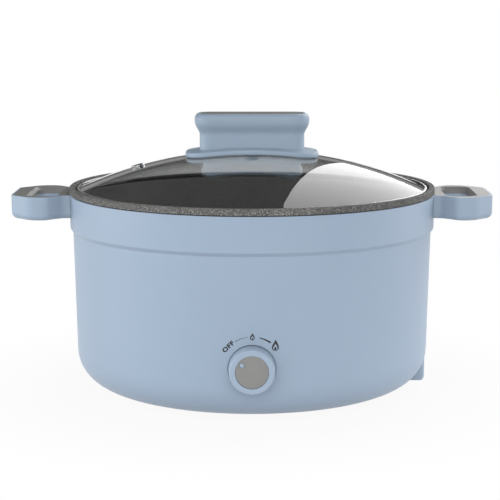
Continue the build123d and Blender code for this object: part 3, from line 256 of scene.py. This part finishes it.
def finish(name, texture, scale, dark, light, roughness, relief, centre=(0, 0, 0), turn=(0, 0, 0)):
    """Material whose colour, roughness and relief follow one of the texture groups.

    Roughness is given for the dark tone and for the light one. What a piece throws on to
    its neighbours is nearly grey, so plastic in shade keeps its hue.
    """
    material = bpy.data.materials.new(name)
    material.use_nodes = True
    tree = material.node_tree
    mapping = tree.nodes.new("ShaderNodeMapping")
    mapping.vector_type = "TEXTURE"
    own_place = tree.nodes.new("ShaderNodeTexCoord").outputs["Object"]
    feed(tree, mapping, {"Vector": own_place, "Location": centre, "Rotation": turn})
    pattern = tree.nodes.new("ShaderNodeGroup")
    pattern.node_tree = texture
    feed(tree, pattern, {"Vector": mapping.outputs["Vector"], "Scale": scale})
    tone = pattern.outputs["Tone"]
    tint = add_node(tree, "ShaderNodeValToRGB", {"Fac": tone})
    for stop, place, colour in zip(tint.color_ramp.elements, (tone_low, tone_high), (dark, light)):
        stop.position, stop.color = place, colour
    cast = add_node(
        tree,
        "ShaderNodeHueSaturation",
        {
            "Saturation": cast_saturation,
            "Value": cast_value,
            "Fac": tree.nodes.new("ShaderNodeLightPath").outputs["Is Diffuse Ray"],
            "Color": tint.outputs["Color"],
        },
    )
    height = pattern.outputs["Height"]
    bump = add_node(tree, "ShaderNodeBump", {"Distance": relief, "Height": height})
    surface = {
        "Base Color": cast.outputs["Color"],
        "Roughness": map_range(tree, tone, tone_low, tone_high, *roughness),
        "Normal": bump.outputs["Normal"],
    }
    feed(tree, tree.nodes["Principled BSDF"], surface)
    return material


def paint(material, *names):
    """Give CAD nodes a finish in place of their plain one."""
    for name in names:
        nodes[name].material_slots[0].material = material


housing_finish = finish(
    "housing satin", moulded_grain, scale=1400.0,
    dark=srgb(174, 194, 217), light=srgb(178, 198, 221), roughness=(0.40, 0.46), relief=0.012 * mm,
)
paint(housing_finish, "outer_housing")

# ------------------------------------------------------------------ dial print
# The heat scale is pad printed on the wall round the knob in dark grey ink: OFF, a row of
# fine dots up to a small flame, and a swelling arc that ends at a large flame.
ink_proud = 0.05 * mm
knob_height = 45.7 * mm
wall_foot, wall_foot_radius = 32.3 * mm, 145.3 * mm
wall_taper = 2.1 / 98.0
scale_radius = 24.3 * mm
off_centre, off_length, off_rise, off_turn = (-17.8 * mm, 16.7 * mm), 10.6 * mm, 3.6 * mm, 45.0
off_spacing, off_boldness = 1.12, 0.045  # of the letters, which are 1 high as they are set
first_dot, last_dot, dot_count = -29.7, -9.0, 7  # degrees from the top of the knob
first_dot_radius, last_dot_radius, dot_corners = 0.44 * mm, 0.38 * mm, 12
arc_start, arc_end, arc_steps = 13.0, 35.0, 14
arc_thin, arc_thick = 0.7 * mm, 1.35 * mm
small_flame = (0.2 * mm, 24.6 * mm, 3.5 * mm, 5.1 * mm)  # place, width and rise
large_flame = (17.4 * mm, 17.9 * mm, 5.1 * mm, 7.7 * mm)
flame_outline = [
    (0.0, 0.54), (0.10, 0.50), (0.60, -0.16),
    (0.36, -0.56), (-0.36, -0.56), (-0.60, -0.16), (-0.10, 0.36),
]
flame_opening = 0.62  # of the outline, open inside it
flame_heart = 0.34  # of the outline, printed again inside the opening
flame_sink = 0.46  # how low the inner outlines stand in the outer one


def on_scale(degrees, radius):
    """Place on the dial, by its angle clockwise from the top."""
    angle = math.radians(degrees)
    return radius * math.sin(angle), radius * math.cos(angle)


def flat_outline(curve, corners, kind):
    """Closed outline in a flat curve; an outline inside another one is a hole."""
    outline = curve.splines.new(kind)
    outline.points.add(len(corners) - 1)
    for point, (x, y) in zip(outline.points, corners):
        point.co = (x, y, 0.0, 1.0)
    outline.use_cyclic_u = True
    if kind == "NURBS":
        outline.order_u = 3
        outline.resolution_u = 6


def flat_mesh(data):
    """Mesh of a text or a flat curve."""
    holder = bpy.data.objects.new("flat outline", data)
    bpy.context.scene.collection.objects.link(holder)
    finished = holder.evaluated_get(bpy.context.evaluated_depsgraph_get())
    mesh = bpy.data.meshes.new_from_object(finished)
    bpy.data.objects.remove(holder)
    return mesh


scale_curve = bpy.data.curves.new("scale outlines", "CURVE")
scale_curve.dimensions = "2D"
scale_curve.fill_mode = "BOTH"
for dot in range(dot_count):
    share = dot / (dot_count - 1)
    dot_x, dot_y = on_scale(first_dot + share * (last_dot - first_dot), scale_radius)
    dot_radius = first_dot_radius + share * (last_dot_radius - first_dot_radius)
    dot_rim = [on_scale(corner * 360.0 / dot_corners, dot_radius) for corner in range(dot_corners)]
    flat_outline(scale_curve, [(dot_x + x, dot_y + y) for x, y in dot_rim], "POLY")
outer_edge, inner_edge = [], []
for step in range(arc_steps + 1):
    share = step / arc_steps
    half = (arc_thin + share * (arc_thick - arc_thin)) / 2
    bearing = arc_start + share * (arc_end - arc_start)
    outer_edge.append(on_scale(bearing, scale_radius + half))
    inner_edge.append(on_scale(bearing, scale_radius - half))
flat_outline(scale_curve, outer_edge + inner_edge[::-1], "POLY")
for x, y, width, rise in (small_flame, large_flame):
    for scale in (1.0, flame_opening, flame_heart):
        sink = (1.0 - scale) * flame_sink
        corners = [(x + width * scale * u, y + rise * (scale * v - sink)) for u, v in flame_outline]
        flat_outline(scale_curve, corners, "NURBS")

off_text = bpy.data.curves.new("off", "FONT")
off_text.body = "OFF"
off_text.align_x = "CENTER"
off_text.align_y = "CENTER"
off_text.space_character = off_spacing
off_text.offset = off_boldness
off_mesh = flat_mesh(off_text)
off_low = [min(vertex.co[axis] for vertex in off_mesh.vertices) for axis in (0, 1)]
off_high = [max(vertex.co[axis] for vertex in off_mesh.vertices) for axis in (0, 1)]
off_size = [high - low for low, high in zip(off_low, off_high)]
off_middle = [high - size / 2 for high, size in zip(off_high, off_size)]
off_mesh.transform(
    Matrix.Translation((*off_centre, 0.0))
    @ Matrix.Rotation(math.radians(off_turn), 4, "Z")
    @ Matrix.Diagonal((off_length / off_size[0], off_rise / off_size[1], 1.0, 1.0))
    @ Matrix.Translation((-off_middle[0], -off_middle[1], 0.0))
)

# The flat print is laid round the wall.
print_mesh = bmesh.new()
print_mesh.from_mesh(flat_mesh(scale_curve))
print_mesh.from_mesh(off_mesh)
for vertex in print_mesh.verts:
    level = knob_height + vertex.co.y
    reach = wall_foot_radius + (level - wall_foot) * wall_taper + ink_proud
    bearing = vertex.co.x / reach
    vertex.co = (reach * math.sin(bearing), -reach * math.cos(bearing), level)

crease = 35.0  # degrees; edges that turn further than this stay crisp


def make_piece(mesh_work, name, body, material):
    """Turn a bmesh into a finished object that rides on a body."""
    mesh = bpy.data.meshes.new(name)
    mesh_work.to_mesh(mesh)
    mesh_work.free()
    mesh.shade_smooth()
    mesh.set_sharp_from_angle(angle=math.radians(crease))
    mesh.materials.append(material)
    piece = bpy.data.objects.new(name, mesh)
    bpy.context.scene.collection.objects.link(piece)
    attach(piece, body)
    return piece


ink_finish = finish(
    "dial ink", moulded_grain, scale=2400.0,
    dark=srgb(44, 46, 50), light=srgb(52, 54, 58), roughness=(0.42, 0.52), relief=0.004 * mm,
)
make_piece(print_mesh, "dial_print", "base", ink_finish)

# ------------------------------------------------------------------ bottom cover and feet
# A flat moulded cover closes the underside. Four cross-head screws hold it, and four
# rubber feet are pulled through it by their stems.
cover_finish = finish(
    "cover grain", moulded_grain, scale=900.0,
    dark=srgb(124, 127, 132), light=srgb(132, 135, 140), roughness=(0.52, 0.62), relief=0.03 * mm,
)
rubber_finish = finish(
    "black rubber", moulded_grain, scale=1800.0,
    dark=srgb(38, 38, 38), light=srgb(48, 48, 48), roughness=(0.72, 0.85), relief=0.02 * mm,
)
paint(cover_finish, "bottom_cover")
paint(rubber_finish, "rubber_feet")

# Rolled and plated steel: fine streaks along one direction and cloudy plating.
streak = (0.06, 1.0, 1.0)  # squeezes the place, which draws the noise out along X
rolled_metal, rolled_place, rolled_scale = start_texture("rolled metal")
rolled_stretch = add_vector_math(rolled_metal, "MULTIPLY", rolled_place, streak)
end_texture(
    rolled_metal,
    tone=add_noise(rolled_metal, rolled_place, 60.0, detail=4.0),
    height=add_noise(rolled_metal, rolled_stretch, rolled_scale, detail=3.0),
)


def metal(name, texture, **look):
    """Finish of a bare metal."""
    material = finish(name, texture, **look)
    material.node_tree.nodes["Principled BSDF"].inputs["Metallic"].default_value = 1.0
    return material


zinc_finish = metal(
    "zinc plating", rolled_metal, scale=700.0,
    dark=srgb(176, 180, 186), light=srgb(206, 209, 212), roughness=(0.28, 0.42), relief=0.01 * mm,
)


def carry_ring(mesh_work, edges, radius, rise):
    """Extrude a ring of edges to another radius, further up; returns the new ring."""
    old_radius = edges[0].verts[0].co.xy.length
    made = bmesh.ops.extrude_edge_only(mesh_work, edges=edges)["geom"]
    ring = {part for part in made if isinstance(part, bmesh.types.BMVert)}
    growth = (radius / old_radius, radius / old_radius, 1.0)
    bmesh.ops.scale(mesh_work, vec=growth, verts=list(ring))
    bmesh.ops.translate(mesh_work, vec=(0.0, 0.0, rise), verts=list(ring))
    made_edges = [part for part in made if isinstance(part, bmesh.types.BMEdge)]
    return [edge for edge in made_edges if ring.issuperset(edge.verts)]


cross_reach = 0.6  # of the head's radius, from the middle to the end of an arm
cross_depth = 0.6  # of the head's rise
cross_taper = 0.72  # size of the cross at its floor, of that at its mouth
edge_turn = 0.3  # where the head's edge turns up, in parts of its rounding
tip_width = 0.3  # of the shank's radius


def cross_screw(head_radius, head_rise, rounding, shank_radius, shank_length, places):
    """Screws with their heads down; each place is the middle of a head's face.

    The cross is a block of its own in the head's mouth, and the head is open round it.
    """
    screw = bmesh.new()
    arm = head_radius * cross_reach
    bmesh.ops.create_grid(screw, x_segments=3, y_segments=3, size=arm)
    corners = [face for face in screw.faces if min(map(abs, face.calc_center_median().xy)) > arm / 2]
    bmesh.ops.delete(screw, geom=corners, context="FACES")
    cross = bmesh.ops.extrude_face_region(screw, geom=list(screw.faces))["geom"]
    cross_floor = [part for part in cross if isinstance(part, bmesh.types.BMVert)]
    bmesh.ops.scale(screw, vec=(cross_taper, cross_taper, 1.0), verts=cross_floor)
    bmesh.ops.translate(screw, vec=(0.0, 0.0, head_rise * cross_depth), verts=cross_floor)
    mouth = bmesh.ops.create_circle(screw, segments=24, radius=head_radius - rounding)["verts"]
    ring = [edge for edge in screw.edges if edge.verts[0] in mouth and edge.verts[1] in mouth]
    for radius, rise in (
        (head_radius - rounding * edge_turn, rounding * edge_turn),
        (head_radius, rounding * (1 - edge_turn)),
        (head_radius, head_rise - rounding),
        (shank_radius, 0.0),
        (shank_radius, shank_length - shank_radius),
        (shank_radius * tip_width, shank_radius),
    ):
        ring = carry_ring(screw, ring, radius, rise)
    bmesh.ops.holes_fill(screw, edges=ring, sides=0)
    bmesh.ops.recalc_face_normals(screw, faces=screw.faces)
    pattern = bpy.data.meshes.new("screw pattern")
    screw.to_mesh(pattern)
    screw.free()
    every_screw = bmesh.new()
    for place in places:
        standing = set(every_screw.verts)
        every_screw.from_mesh(pattern)
        fresh = [vertex for vertex in every_screw.verts if vertex not in standing]
        bmesh.ops.translate(every_screw, vec=place, verts=fresh)
    return every_screw


cover_screw_circle, cover_screw_face = 104.0 * mm, 4.2 * mm
cover_screw_first = 22.5  # degrees from the right-hand side
cover_screw_count = 4
cover_screw_places = []
for screw_number in range(cover_screw_count):
    bearing = math.radians(cover_screw_first + 360.0 * screw_number / cover_screw_count)
    screw_x = cover_screw_circle * math.cos(bearing)
    screw_y = cover_screw_circle * math.sin(bearing)
    cover_screw_places.append((screw_x, screw_y, cover_screw_face))
cover_screw_mesh = cross_screw(
    head_radius=2.9 * mm, head_rise=1.4 * mm, rounding=0.4 * mm,
    shank_radius=1.45 * mm, shank_length=10.0 * mm, places=cover_screw_places,
)
cover_screw_piece = make_piece(cover_screw_mesh, "cover_cross_screws", "base", zinc_finish)
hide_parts("cover_screws")

# ------------------------------------------------------------------ rim gasket
# A flat black rubber ring between the housing's band and the pan's rim. It shows as a
# dark line under the rim.
paint(rubber_finish, "rim_gasket")

# ------------------------------------------------------------------ pan
# Cast aluminium under a dark non-stick coating sprayed with pale mineral specks; the pan
# hangs by its rim on the band. The coating is painted in two tones: darker between brighter
# specks on the rim, and lighter inside as painted light against the shade under the lid.
speck_size = 0.40 * mm
speck_warp = (0.15 * mm, 0.15 * mm, 0.15 * mm)  # how far a speck's outline strays
speck_edge, speck_middle = 0.55, 0.35  # distances from a cell's point, in cells
speck_none, speck_full = 1.02, 1.30  # which cells carry a speck, by their chance and the drift
rim_start, rim_full = 157.5 * mm, 159.5 * mm  # heights between which the rim's look takes over

# Irregular flecks in some cells of a pattern for the tone, coating grain for the height.
mineral_specks, specks_place, specks_scale = start_texture("mineral specks")
speck_noise = add_node(
    mineral_specks, "ShaderNodeTexNoise", {"Vector": specks_place, "Scale": 900.0}
)
speck_shift = add_vector_math(
    mineral_specks, "MULTIPLY_ADD", speck_noise.outputs["Color"], speck_warp, specks_place
)
speck_cells = add_node(
    mineral_specks, "ShaderNodeTexVoronoi", {"Vector": speck_shift, "Scale": specks_scale}
).outputs
speck_shape = map_range(mineral_specks, speck_cells["Distance"], speck_edge, speck_middle)
speck_chance = add_node(mineral_specks, "ShaderNodeSeparateColor", {"Color": speck_cells["Color"]})
speck_drift = add_noise(mineral_specks, specks_place, 10.0, detail=1.0)
speck_density = add_math(mineral_specks, "ADD", speck_chance.outputs["Red"], speck_drift)
speck_some = map_range(mineral_specks, speck_density, speck_none, speck_full)
end_texture(
    mineral_specks,
    tone=add_math(mineral_specks, "MULTIPLY", speck_shape, speck_some),
    height=add_noise(mineral_specks, specks_place, 2200.0, detail=2.0),
)

# The inside's grey is painted lighter than the rim's: painted light against the shade under the lid.
pan_finish = finish(
    "mineral coating", mineral_specks, scale=1 / speck_size,
    dark=srgb(118, 118, 118), light=srgb(172, 172, 170), roughness=(0.72, 0.6), relief=0.02 * mm,
)
# The rim and the inside are painted in two tones of one coating: the rim darker between
# brighter specks, the inside a lighter grey as painted light against its shade.
coat = pan_finish.node_tree
coat_tone = next(node for node in coat.nodes if node.type == "GROUP").outputs["Tone"]
coat_place = coat.nodes.new("ShaderNodeTexCoord").outputs["Object"]
coat_height = add_node(coat, "ShaderNodeSeparateXYZ", {"Vector": coat_place}).outputs["Z"]
painted_tone_mask = map_range(coat, coat_height, rim_start, rim_full)
rim_painted_tone = mix_colours(coat, coat_tone, srgb(88, 88, 87), srgb(226, 225, 221))
inside_painted_light = coat.nodes["Color Ramp"].outputs["Color"]
coat_painted_tones = mix_colours(coat, painted_tone_mask, inside_painted_light, rim_painted_tone)
feed(coat, coat.nodes["Principled BSDF"], {"Base Color": coat_painted_tones, "Specular IOR Level": 0.3})
paint(pan_finish, "inner_pan")

# ------------------------------------------------------------------ heater stack
# Under the pan: an aluminium plate with its tubular element, a zinc-plated tray, ring,
# studs, spacers and nuts, ceramic seals and nickelled brass tabs.
cast_finish = metal(
    "cast aluminium", moulded_grain, scale=600.0,
    dark=srgb(186, 188, 190), light=srgb(206, 207, 208), roughness=(0.42, 0.55), relief=0.03 * mm,
)
sheath_finish = metal(
    "annealed sheath", rolled_metal, scale=500.0,
    dark=srgb(104, 99, 94), light=srgb(140, 134, 126), roughness=(0.34, 0.5), relief=0.01 * mm,
)
ceramic_finish = finish(
    "unglazed ceramic", moulded_grain, scale=1600.0,
    dark=srgb(232, 229, 219), light=srgb(242, 240, 232), roughness=(0.6, 0.75), relief=0.02 * mm,
)
tab_finish = metal(
    "nickelled brass", rolled_metal, scale=900.0,
    dark=srgb(206, 198, 172), light=srgb(224, 218, 198), roughness=(0.24, 0.36), relief=0.006 * mm,
)
paint(cast_finish, "heater_plate")
paint(sheath_finish, "heating_element")
paint(ceramic_finish, "element_seals")
paint(tab_finish, "element_tabs")
paint(zinc_finish, "pan_studs", "pan_spacers", "pan_nuts", "mounting_ring")
paint(zinc_finish, "post_screws", "post_nuts", "reflector_tray", "fuse_clip")

# ------------------------------------------------------------------ fuse and thermostat
# A ceramic-cased thermal fuse clipped under the tray, and the thermostat on its steel
# bracket behind the knob, with its nut, screws, terminals and shaft.
case_finish = finish(
    "thermostat case", moulded_grain, scale=1200.0,
    dark=srgb(226, 222, 208), light=srgb(236, 233, 222), roughness=(0.5, 0.62), relief=0.02 * mm,
)
paint(ceramic_finish, "thermal_fuse")
paint(case_finish, "thermostat_body")
paint(tab_finish, "thermostat_terminals")
paint(zinc_finish, "thermostat_bracket", "thermostat_nut", "bracket_screws", "thermostat_shaft")

# ------------------------------------------------------------------ knob
# A moulded ring in a lighter blue that pushes on to the shaft. Its front carries a grey
# disc with fine turned lines, held down by a blue pip that is also the pointer.
knob_face = 158.0 * mm
disc_radius, disc_thickness, disc_sink, disc_edge = 12.5 * mm, 1.0 * mm, 0.3 * mm, 0.4 * mm
pip_radius, pip_hole_radius, pip_thickness, pip_edge = 1.75 * mm, 1.9 * mm, 1.2 * mm, 0.55 * mm
pip_x, pip_y = -7.40 * mm, 5.38 * mm
tick_x, tick_y = -11.75 * mm, 8.55 * mm
tick_length, tick_width, tick_thickness, tick_edge = 2.5 * mm, 1.7 * mm, 0.8 * mm, 0.3 * mm
tick_rise = 0.1 * mm

# Rings round the Z axis of the place: turned or spun metal.
turned_lines, turned_place, turned_scale = start_texture("turned lines")
turned_flat = add_vector_math(turned_lines, "MULTIPLY", turned_place, (1.0, 1.0, 0.0))
turned_reach = add_vector_math(turned_lines, "LENGTH", turned_flat)
turned_noise = turned_lines.nodes.new("ShaderNodeTexNoise")
turned_noise.noise_dimensions = "1D"
feed(turned_lines, turned_noise, {"W": turned_reach, "Scale": turned_scale, "Detail": 2.0})
end_texture(turned_lines, tone=turned_noise.outputs["Fac"], height=turned_noise.outputs["Fac"])

knob_finish = finish(
    "knob satin", moulded_grain, scale=1700.0,
    dark=srgb(178, 198, 221), light=srgb(183, 203, 226), roughness=(0.36, 0.42), relief=0.01 * mm,
)
disc_finish = finish(
    "turned disc", turned_lines, scale=2600.0,
    dark=srgb(150, 150, 149), light=srgb(162, 162, 161), roughness=(0.34, 0.44), relief=0.01 * mm,
    centre=(0.0, 0.0, knob_height), turn=(math.radians(90.0), 0.0, 0.0),
)
paint(knob_finish, "knob")

# The front pieces are drawn flat round the shaft's axis and then stood up to face the front.
knob_upright = Matrix.Rotation(math.radians(90.0), 4, "X")
knob_place = Matrix.Translation((0.0, -knob_face, knob_height)) @ knob_upright


def round_edges(mesh_work, edges, size, steps):
    """Round edges over in a few steps."""
    bmesh.ops.bevel(
        mesh_work, geom=edges, offset=size, segments=steps, profile=0.5, affect="EDGES", material=-1
    )


disc_mesh = bmesh.new()
bmesh.ops.create_circle(disc_mesh, segments=96, radius=disc_radius)
pip_place = Matrix.Translation((pip_x, pip_y, 0.0))
bmesh.ops.create_circle(disc_mesh, segments=96, radius=pip_hole_radius, matrix=pip_place)
bmesh.ops.bridge_loops(disc_mesh, edges=list(disc_mesh.edges))
bmesh.ops.recalc_face_normals(disc_mesh, faces=disc_mesh.faces)
if sum(face.normal.z for face in disc_mesh.faces) < 0:
    bmesh.ops.reverse_faces(disc_mesh, faces=disc_mesh.faces)
disc_outlines = [edge for edge in disc_mesh.edges if edge.is_boundary]
disc_walls = bmesh.ops.extrude_edge_only(disc_mesh, edges=disc_outlines)["geom"]
disc_back = [part for part in disc_walls if isinstance(part, bmesh.types.BMVert)]
bmesh.ops.translate(disc_mesh, vec=(0.0, 0.0, -disc_thickness), verts=disc_back)
disc_creases = [edge for edge in disc_mesh.edges if edge.calc_face_angle(0.0) > math.radians(crease)]
disc_front = [edge for edge in disc_creases if edge.verts[0].co.z > -disc_thickness / 2]
round_edges(disc_mesh, disc_front, disc_edge, steps=2)
bmesh.ops.translate(disc_mesh, vec=(0.0, 0.0, -disc_sink), verts=disc_mesh.verts)
bmesh.ops.transform(disc_mesh, matrix=knob_place, verts=disc_mesh.verts)
disc_piece = make_piece(disc_mesh, "knob_face_disc", "knob", disc_finish)
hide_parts("knob_disc")

pip_mesh = bmesh.new()
pip_middle = -pip_thickness / 2
bmesh.ops.create_cone(
    pip_mesh, cap_ends=True, segments=40, radius1=pip_radius, radius2=pip_radius,
    depth=pip_thickness, matrix=Matrix.Translation((pip_x, pip_y, pip_middle)),
)
pip_front = [edge for edge in pip_mesh.edges if all(v.co.z > pip_middle for v in edge.verts)]
round_edges(pip_mesh, pip_front, pip_edge, steps=4)
bmesh.ops.transform(pip_mesh, matrix=knob_place, verts=pip_mesh.verts)
pip_piece = make_piece(pip_mesh, "knob_pip", "knob", knob_finish)
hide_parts("knob_pointer")

# A raised mark on the ring, in line with the pip.
tick_mesh = bmesh.new()
tick_size = Matrix.Diagonal((tick_length, tick_width, tick_thickness, 1.0))
bmesh.ops.create_cube(tick_mesh, size=1.0, matrix=tick_size)
round_edges(tick_mesh, list(tick_mesh.edges), tick_edge, steps=3)
tick_turn = Matrix.Rotation(math.atan2(tick_y, tick_x), 4, "Z")
tick_place = Matrix.Translation((tick_x, tick_y, tick_rise - tick_thickness / 2)) @ tick_turn
bmesh.ops.transform(tick_mesh, matrix=knob_place @ tick_place, verts=tick_mesh.verts)
tick_piece = make_piece(tick_mesh, "knob_tick", "knob", knob_finish)

# ------------------------------------------------------------------ appliance inlet
# A block in the housing's blue low on the right, screwed in from below. It holds a black
# socket with three nickelled flat pins.
socket_finish = finish(
    "black moulding", moulded_grain, scale=1600.0,
    dark=srgb(34, 34, 35), light=srgb(42, 42, 43), roughness=(0.42, 0.5), relief=0.01 * mm,
)
paint(housing_finish, "inlet_block")
paint(socket_finish, "inlet_socket")
paint(tab_finish, "inlet_pins")
inlet_screw_places = [(116.5 * mm, 15.0 * mm, 4.3 * mm), (116.5 * mm, -15.0 * mm, 4.3 * mm)]
inlet_screw_mesh = cross_screw(
    head_radius=2.9 * mm, head_rise=1.6 * mm, rounding=0.4 * mm,
    shank_radius=1.45 * mm, shank_length=10.1 * mm, places=inlet_screw_places,
)
inlet_screw_piece = make_piece(inlet_screw_mesh, "inlet_cross_screws", "base", zinc_finish)
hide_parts("inlet_screws")

# ------------------------------------------------------------------ side handles
# Hollow shells in the housing's blue, screwed on from inside the band. A satin grey plate
# is let into each top and turns down into the finger hole.
handle_finish = finish(
    "handle satin", moulded_grain, scale=1500.0,
    dark=srgb(171, 191, 213), light=srgb(176, 196, 218), roughness=(0.38, 0.44), relief=0.012 * mm,
)
trim_finish = finish(
    "grey satin", moulded_grain, scale=1500.0,
    dark=srgb(138, 138, 136), light=srgb(146, 146, 144), roughness=(0.36, 0.44), relief=0.014 * mm,
)
paint(handle_finish, "right_handle_shell", "left_handle_shell")
paint(trim_finish, "right_handle_cover", "left_handle_cover")
paint(zinc_finish, "handle_screws")

# ------------------------------------------------------------------ wiring
# Heat-proof braided sleeves: brown from the live pin through the fuse and thermostat to
# the element, blue back to the neutral pin, green for the earth under its lug.
brown_cables = ("live_cable", "fused_cable", "switched_cable")
for sleeve, dark, light, cables in (
    ("brown braid", srgb(120, 80, 52), srgb(146, 102, 70), brown_cables),
    ("blue braid", srgb(58, 92, 168), srgb(78, 114, 190), ("neutral_cable",)),
    ("green braid", srgb(72, 148, 66), srgb(110, 176, 92), ("earth_cable",)),
):
    sleeve_finish = finish(
        sleeve, rolled_metal, scale=3000.0,
        dark=dark, light=light, roughness=(0.6, 0.75), relief=0.08 * mm,
    )
    paint(sleeve_finish, *cables)
paint(tab_finish, "earth_lug")

# ------------------------------------------------------------------ lid glass
# Tempered soda-lime glass, pressed to a shallow dome. Its surface has the faint ripple of
# tempering; daylight passes it, so it casts no shadow.
glass_finish = bpy.data.materials.new("tempered glass")
glass_finish.use_nodes = True
glass = glass_finish.node_tree
glass_place = glass.nodes.new("ShaderNodeTexCoord").outputs["Object"]
glass_ripple = add_noise(glass, glass_place, 14.0, detail=1.0)
glass_bump = add_node(glass, "ShaderNodeBump", {"Distance": 0.015 * mm, "Height": glass_ripple})
glass_surface = {
    "Base Color": srgb(229, 230, 229),
    "Transmission Weight": 1.0,
    "IOR": 1.52,
    "Roughness": map_range(glass, glass_ripple, start=0.0, end=1.0, low=0.0, high=0.006),
    "Normal": glass_bump.outputs["Normal"],
}
feed(glass, glass.nodes["Principled BSDF"], glass_surface)
paint(glass_finish, "lid_glass")
nodes["lid_glass"].visible_shadow = False

# ------------------------------------------------------------------ lid band and eyelet
# A stainless strip rolled round the glass's edge, polished along its length, and a small
# turned eyelet that lets the steam out.
eyelet_centre = (-94.0 * mm, 0.0, 181.2 * mm)
eyelet_tilt = math.radians(-15.3)
band_finish = metal(
    "polished strip", turned_lines, scale=3000.0,
    dark=srgb(205, 206, 208), light=srgb(226, 227, 229), roughness=(0.10, 0.2), relief=0.003 * mm,
)
eyelet_finish = metal(
    "turned eyelet", turned_lines, scale=4000.0,
    dark=srgb(214, 215, 217), light=srgb(234, 235, 236), roughness=(0.08, 0.16), relief=0.003 * mm,
    centre=eyelet_centre, turn=(0.0, eyelet_tilt, 0.0),
)
paint(band_finish, "lid_rim_band")
paint(eyelet_finish, "steam_eyelet")

# ------------------------------------------------------------------ lid handle
# A blue moulding on a silicone pad, pulled down on the glass by one screw with a silicone
# washer. A grey cap closes the hollow of its head.
silicone_finish = finish(
    "soft silicone", moulded_grain, scale=1200.0,
    dark=srgb(196, 202, 204), light=srgb(210, 214, 216), roughness=(0.5, 0.62), relief=0.01 * mm,
)
# Its blue is painted darker than the housing's: painted shade for its neck and the underside of its
# head.
lid_handle_painted_shade = finish(
    "lid handle painted shade", moulded_grain, scale=1500.0,
    dark=srgb(164, 184, 205), light=srgb(169, 189, 210), roughness=(0.38, 0.44), relief=0.012 * mm,
)
paint(lid_handle_painted_shade, "lid_handle")
paint(trim_finish, "lid_handle_cap")
paint(silicone_finish, "lid_handle_pad", "lid_washer")
steel_finish = metal(
    "stainless screw", rolled_metal, scale=1200.0,
    dark=srgb(196, 197, 199), light=srgb(218, 219, 221), roughness=(0.18, 0.28), relief=0.005 * mm,
)
lid_screw_place = (0.0, 0.0, 184.98 * mm)
lid_screw_mesh = cross_screw(
    head_radius=5.3 * mm, head_rise=3.0 * mm, rounding=1.2 * mm,
    shank_radius=2.4 * mm, shank_length=24.0 * mm, places=[lid_screw_place],
)
lid_screw_piece = make_piece(lid_screw_mesh, "lid_cross_screw", "lid", steel_finish)
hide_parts("lid_screw")
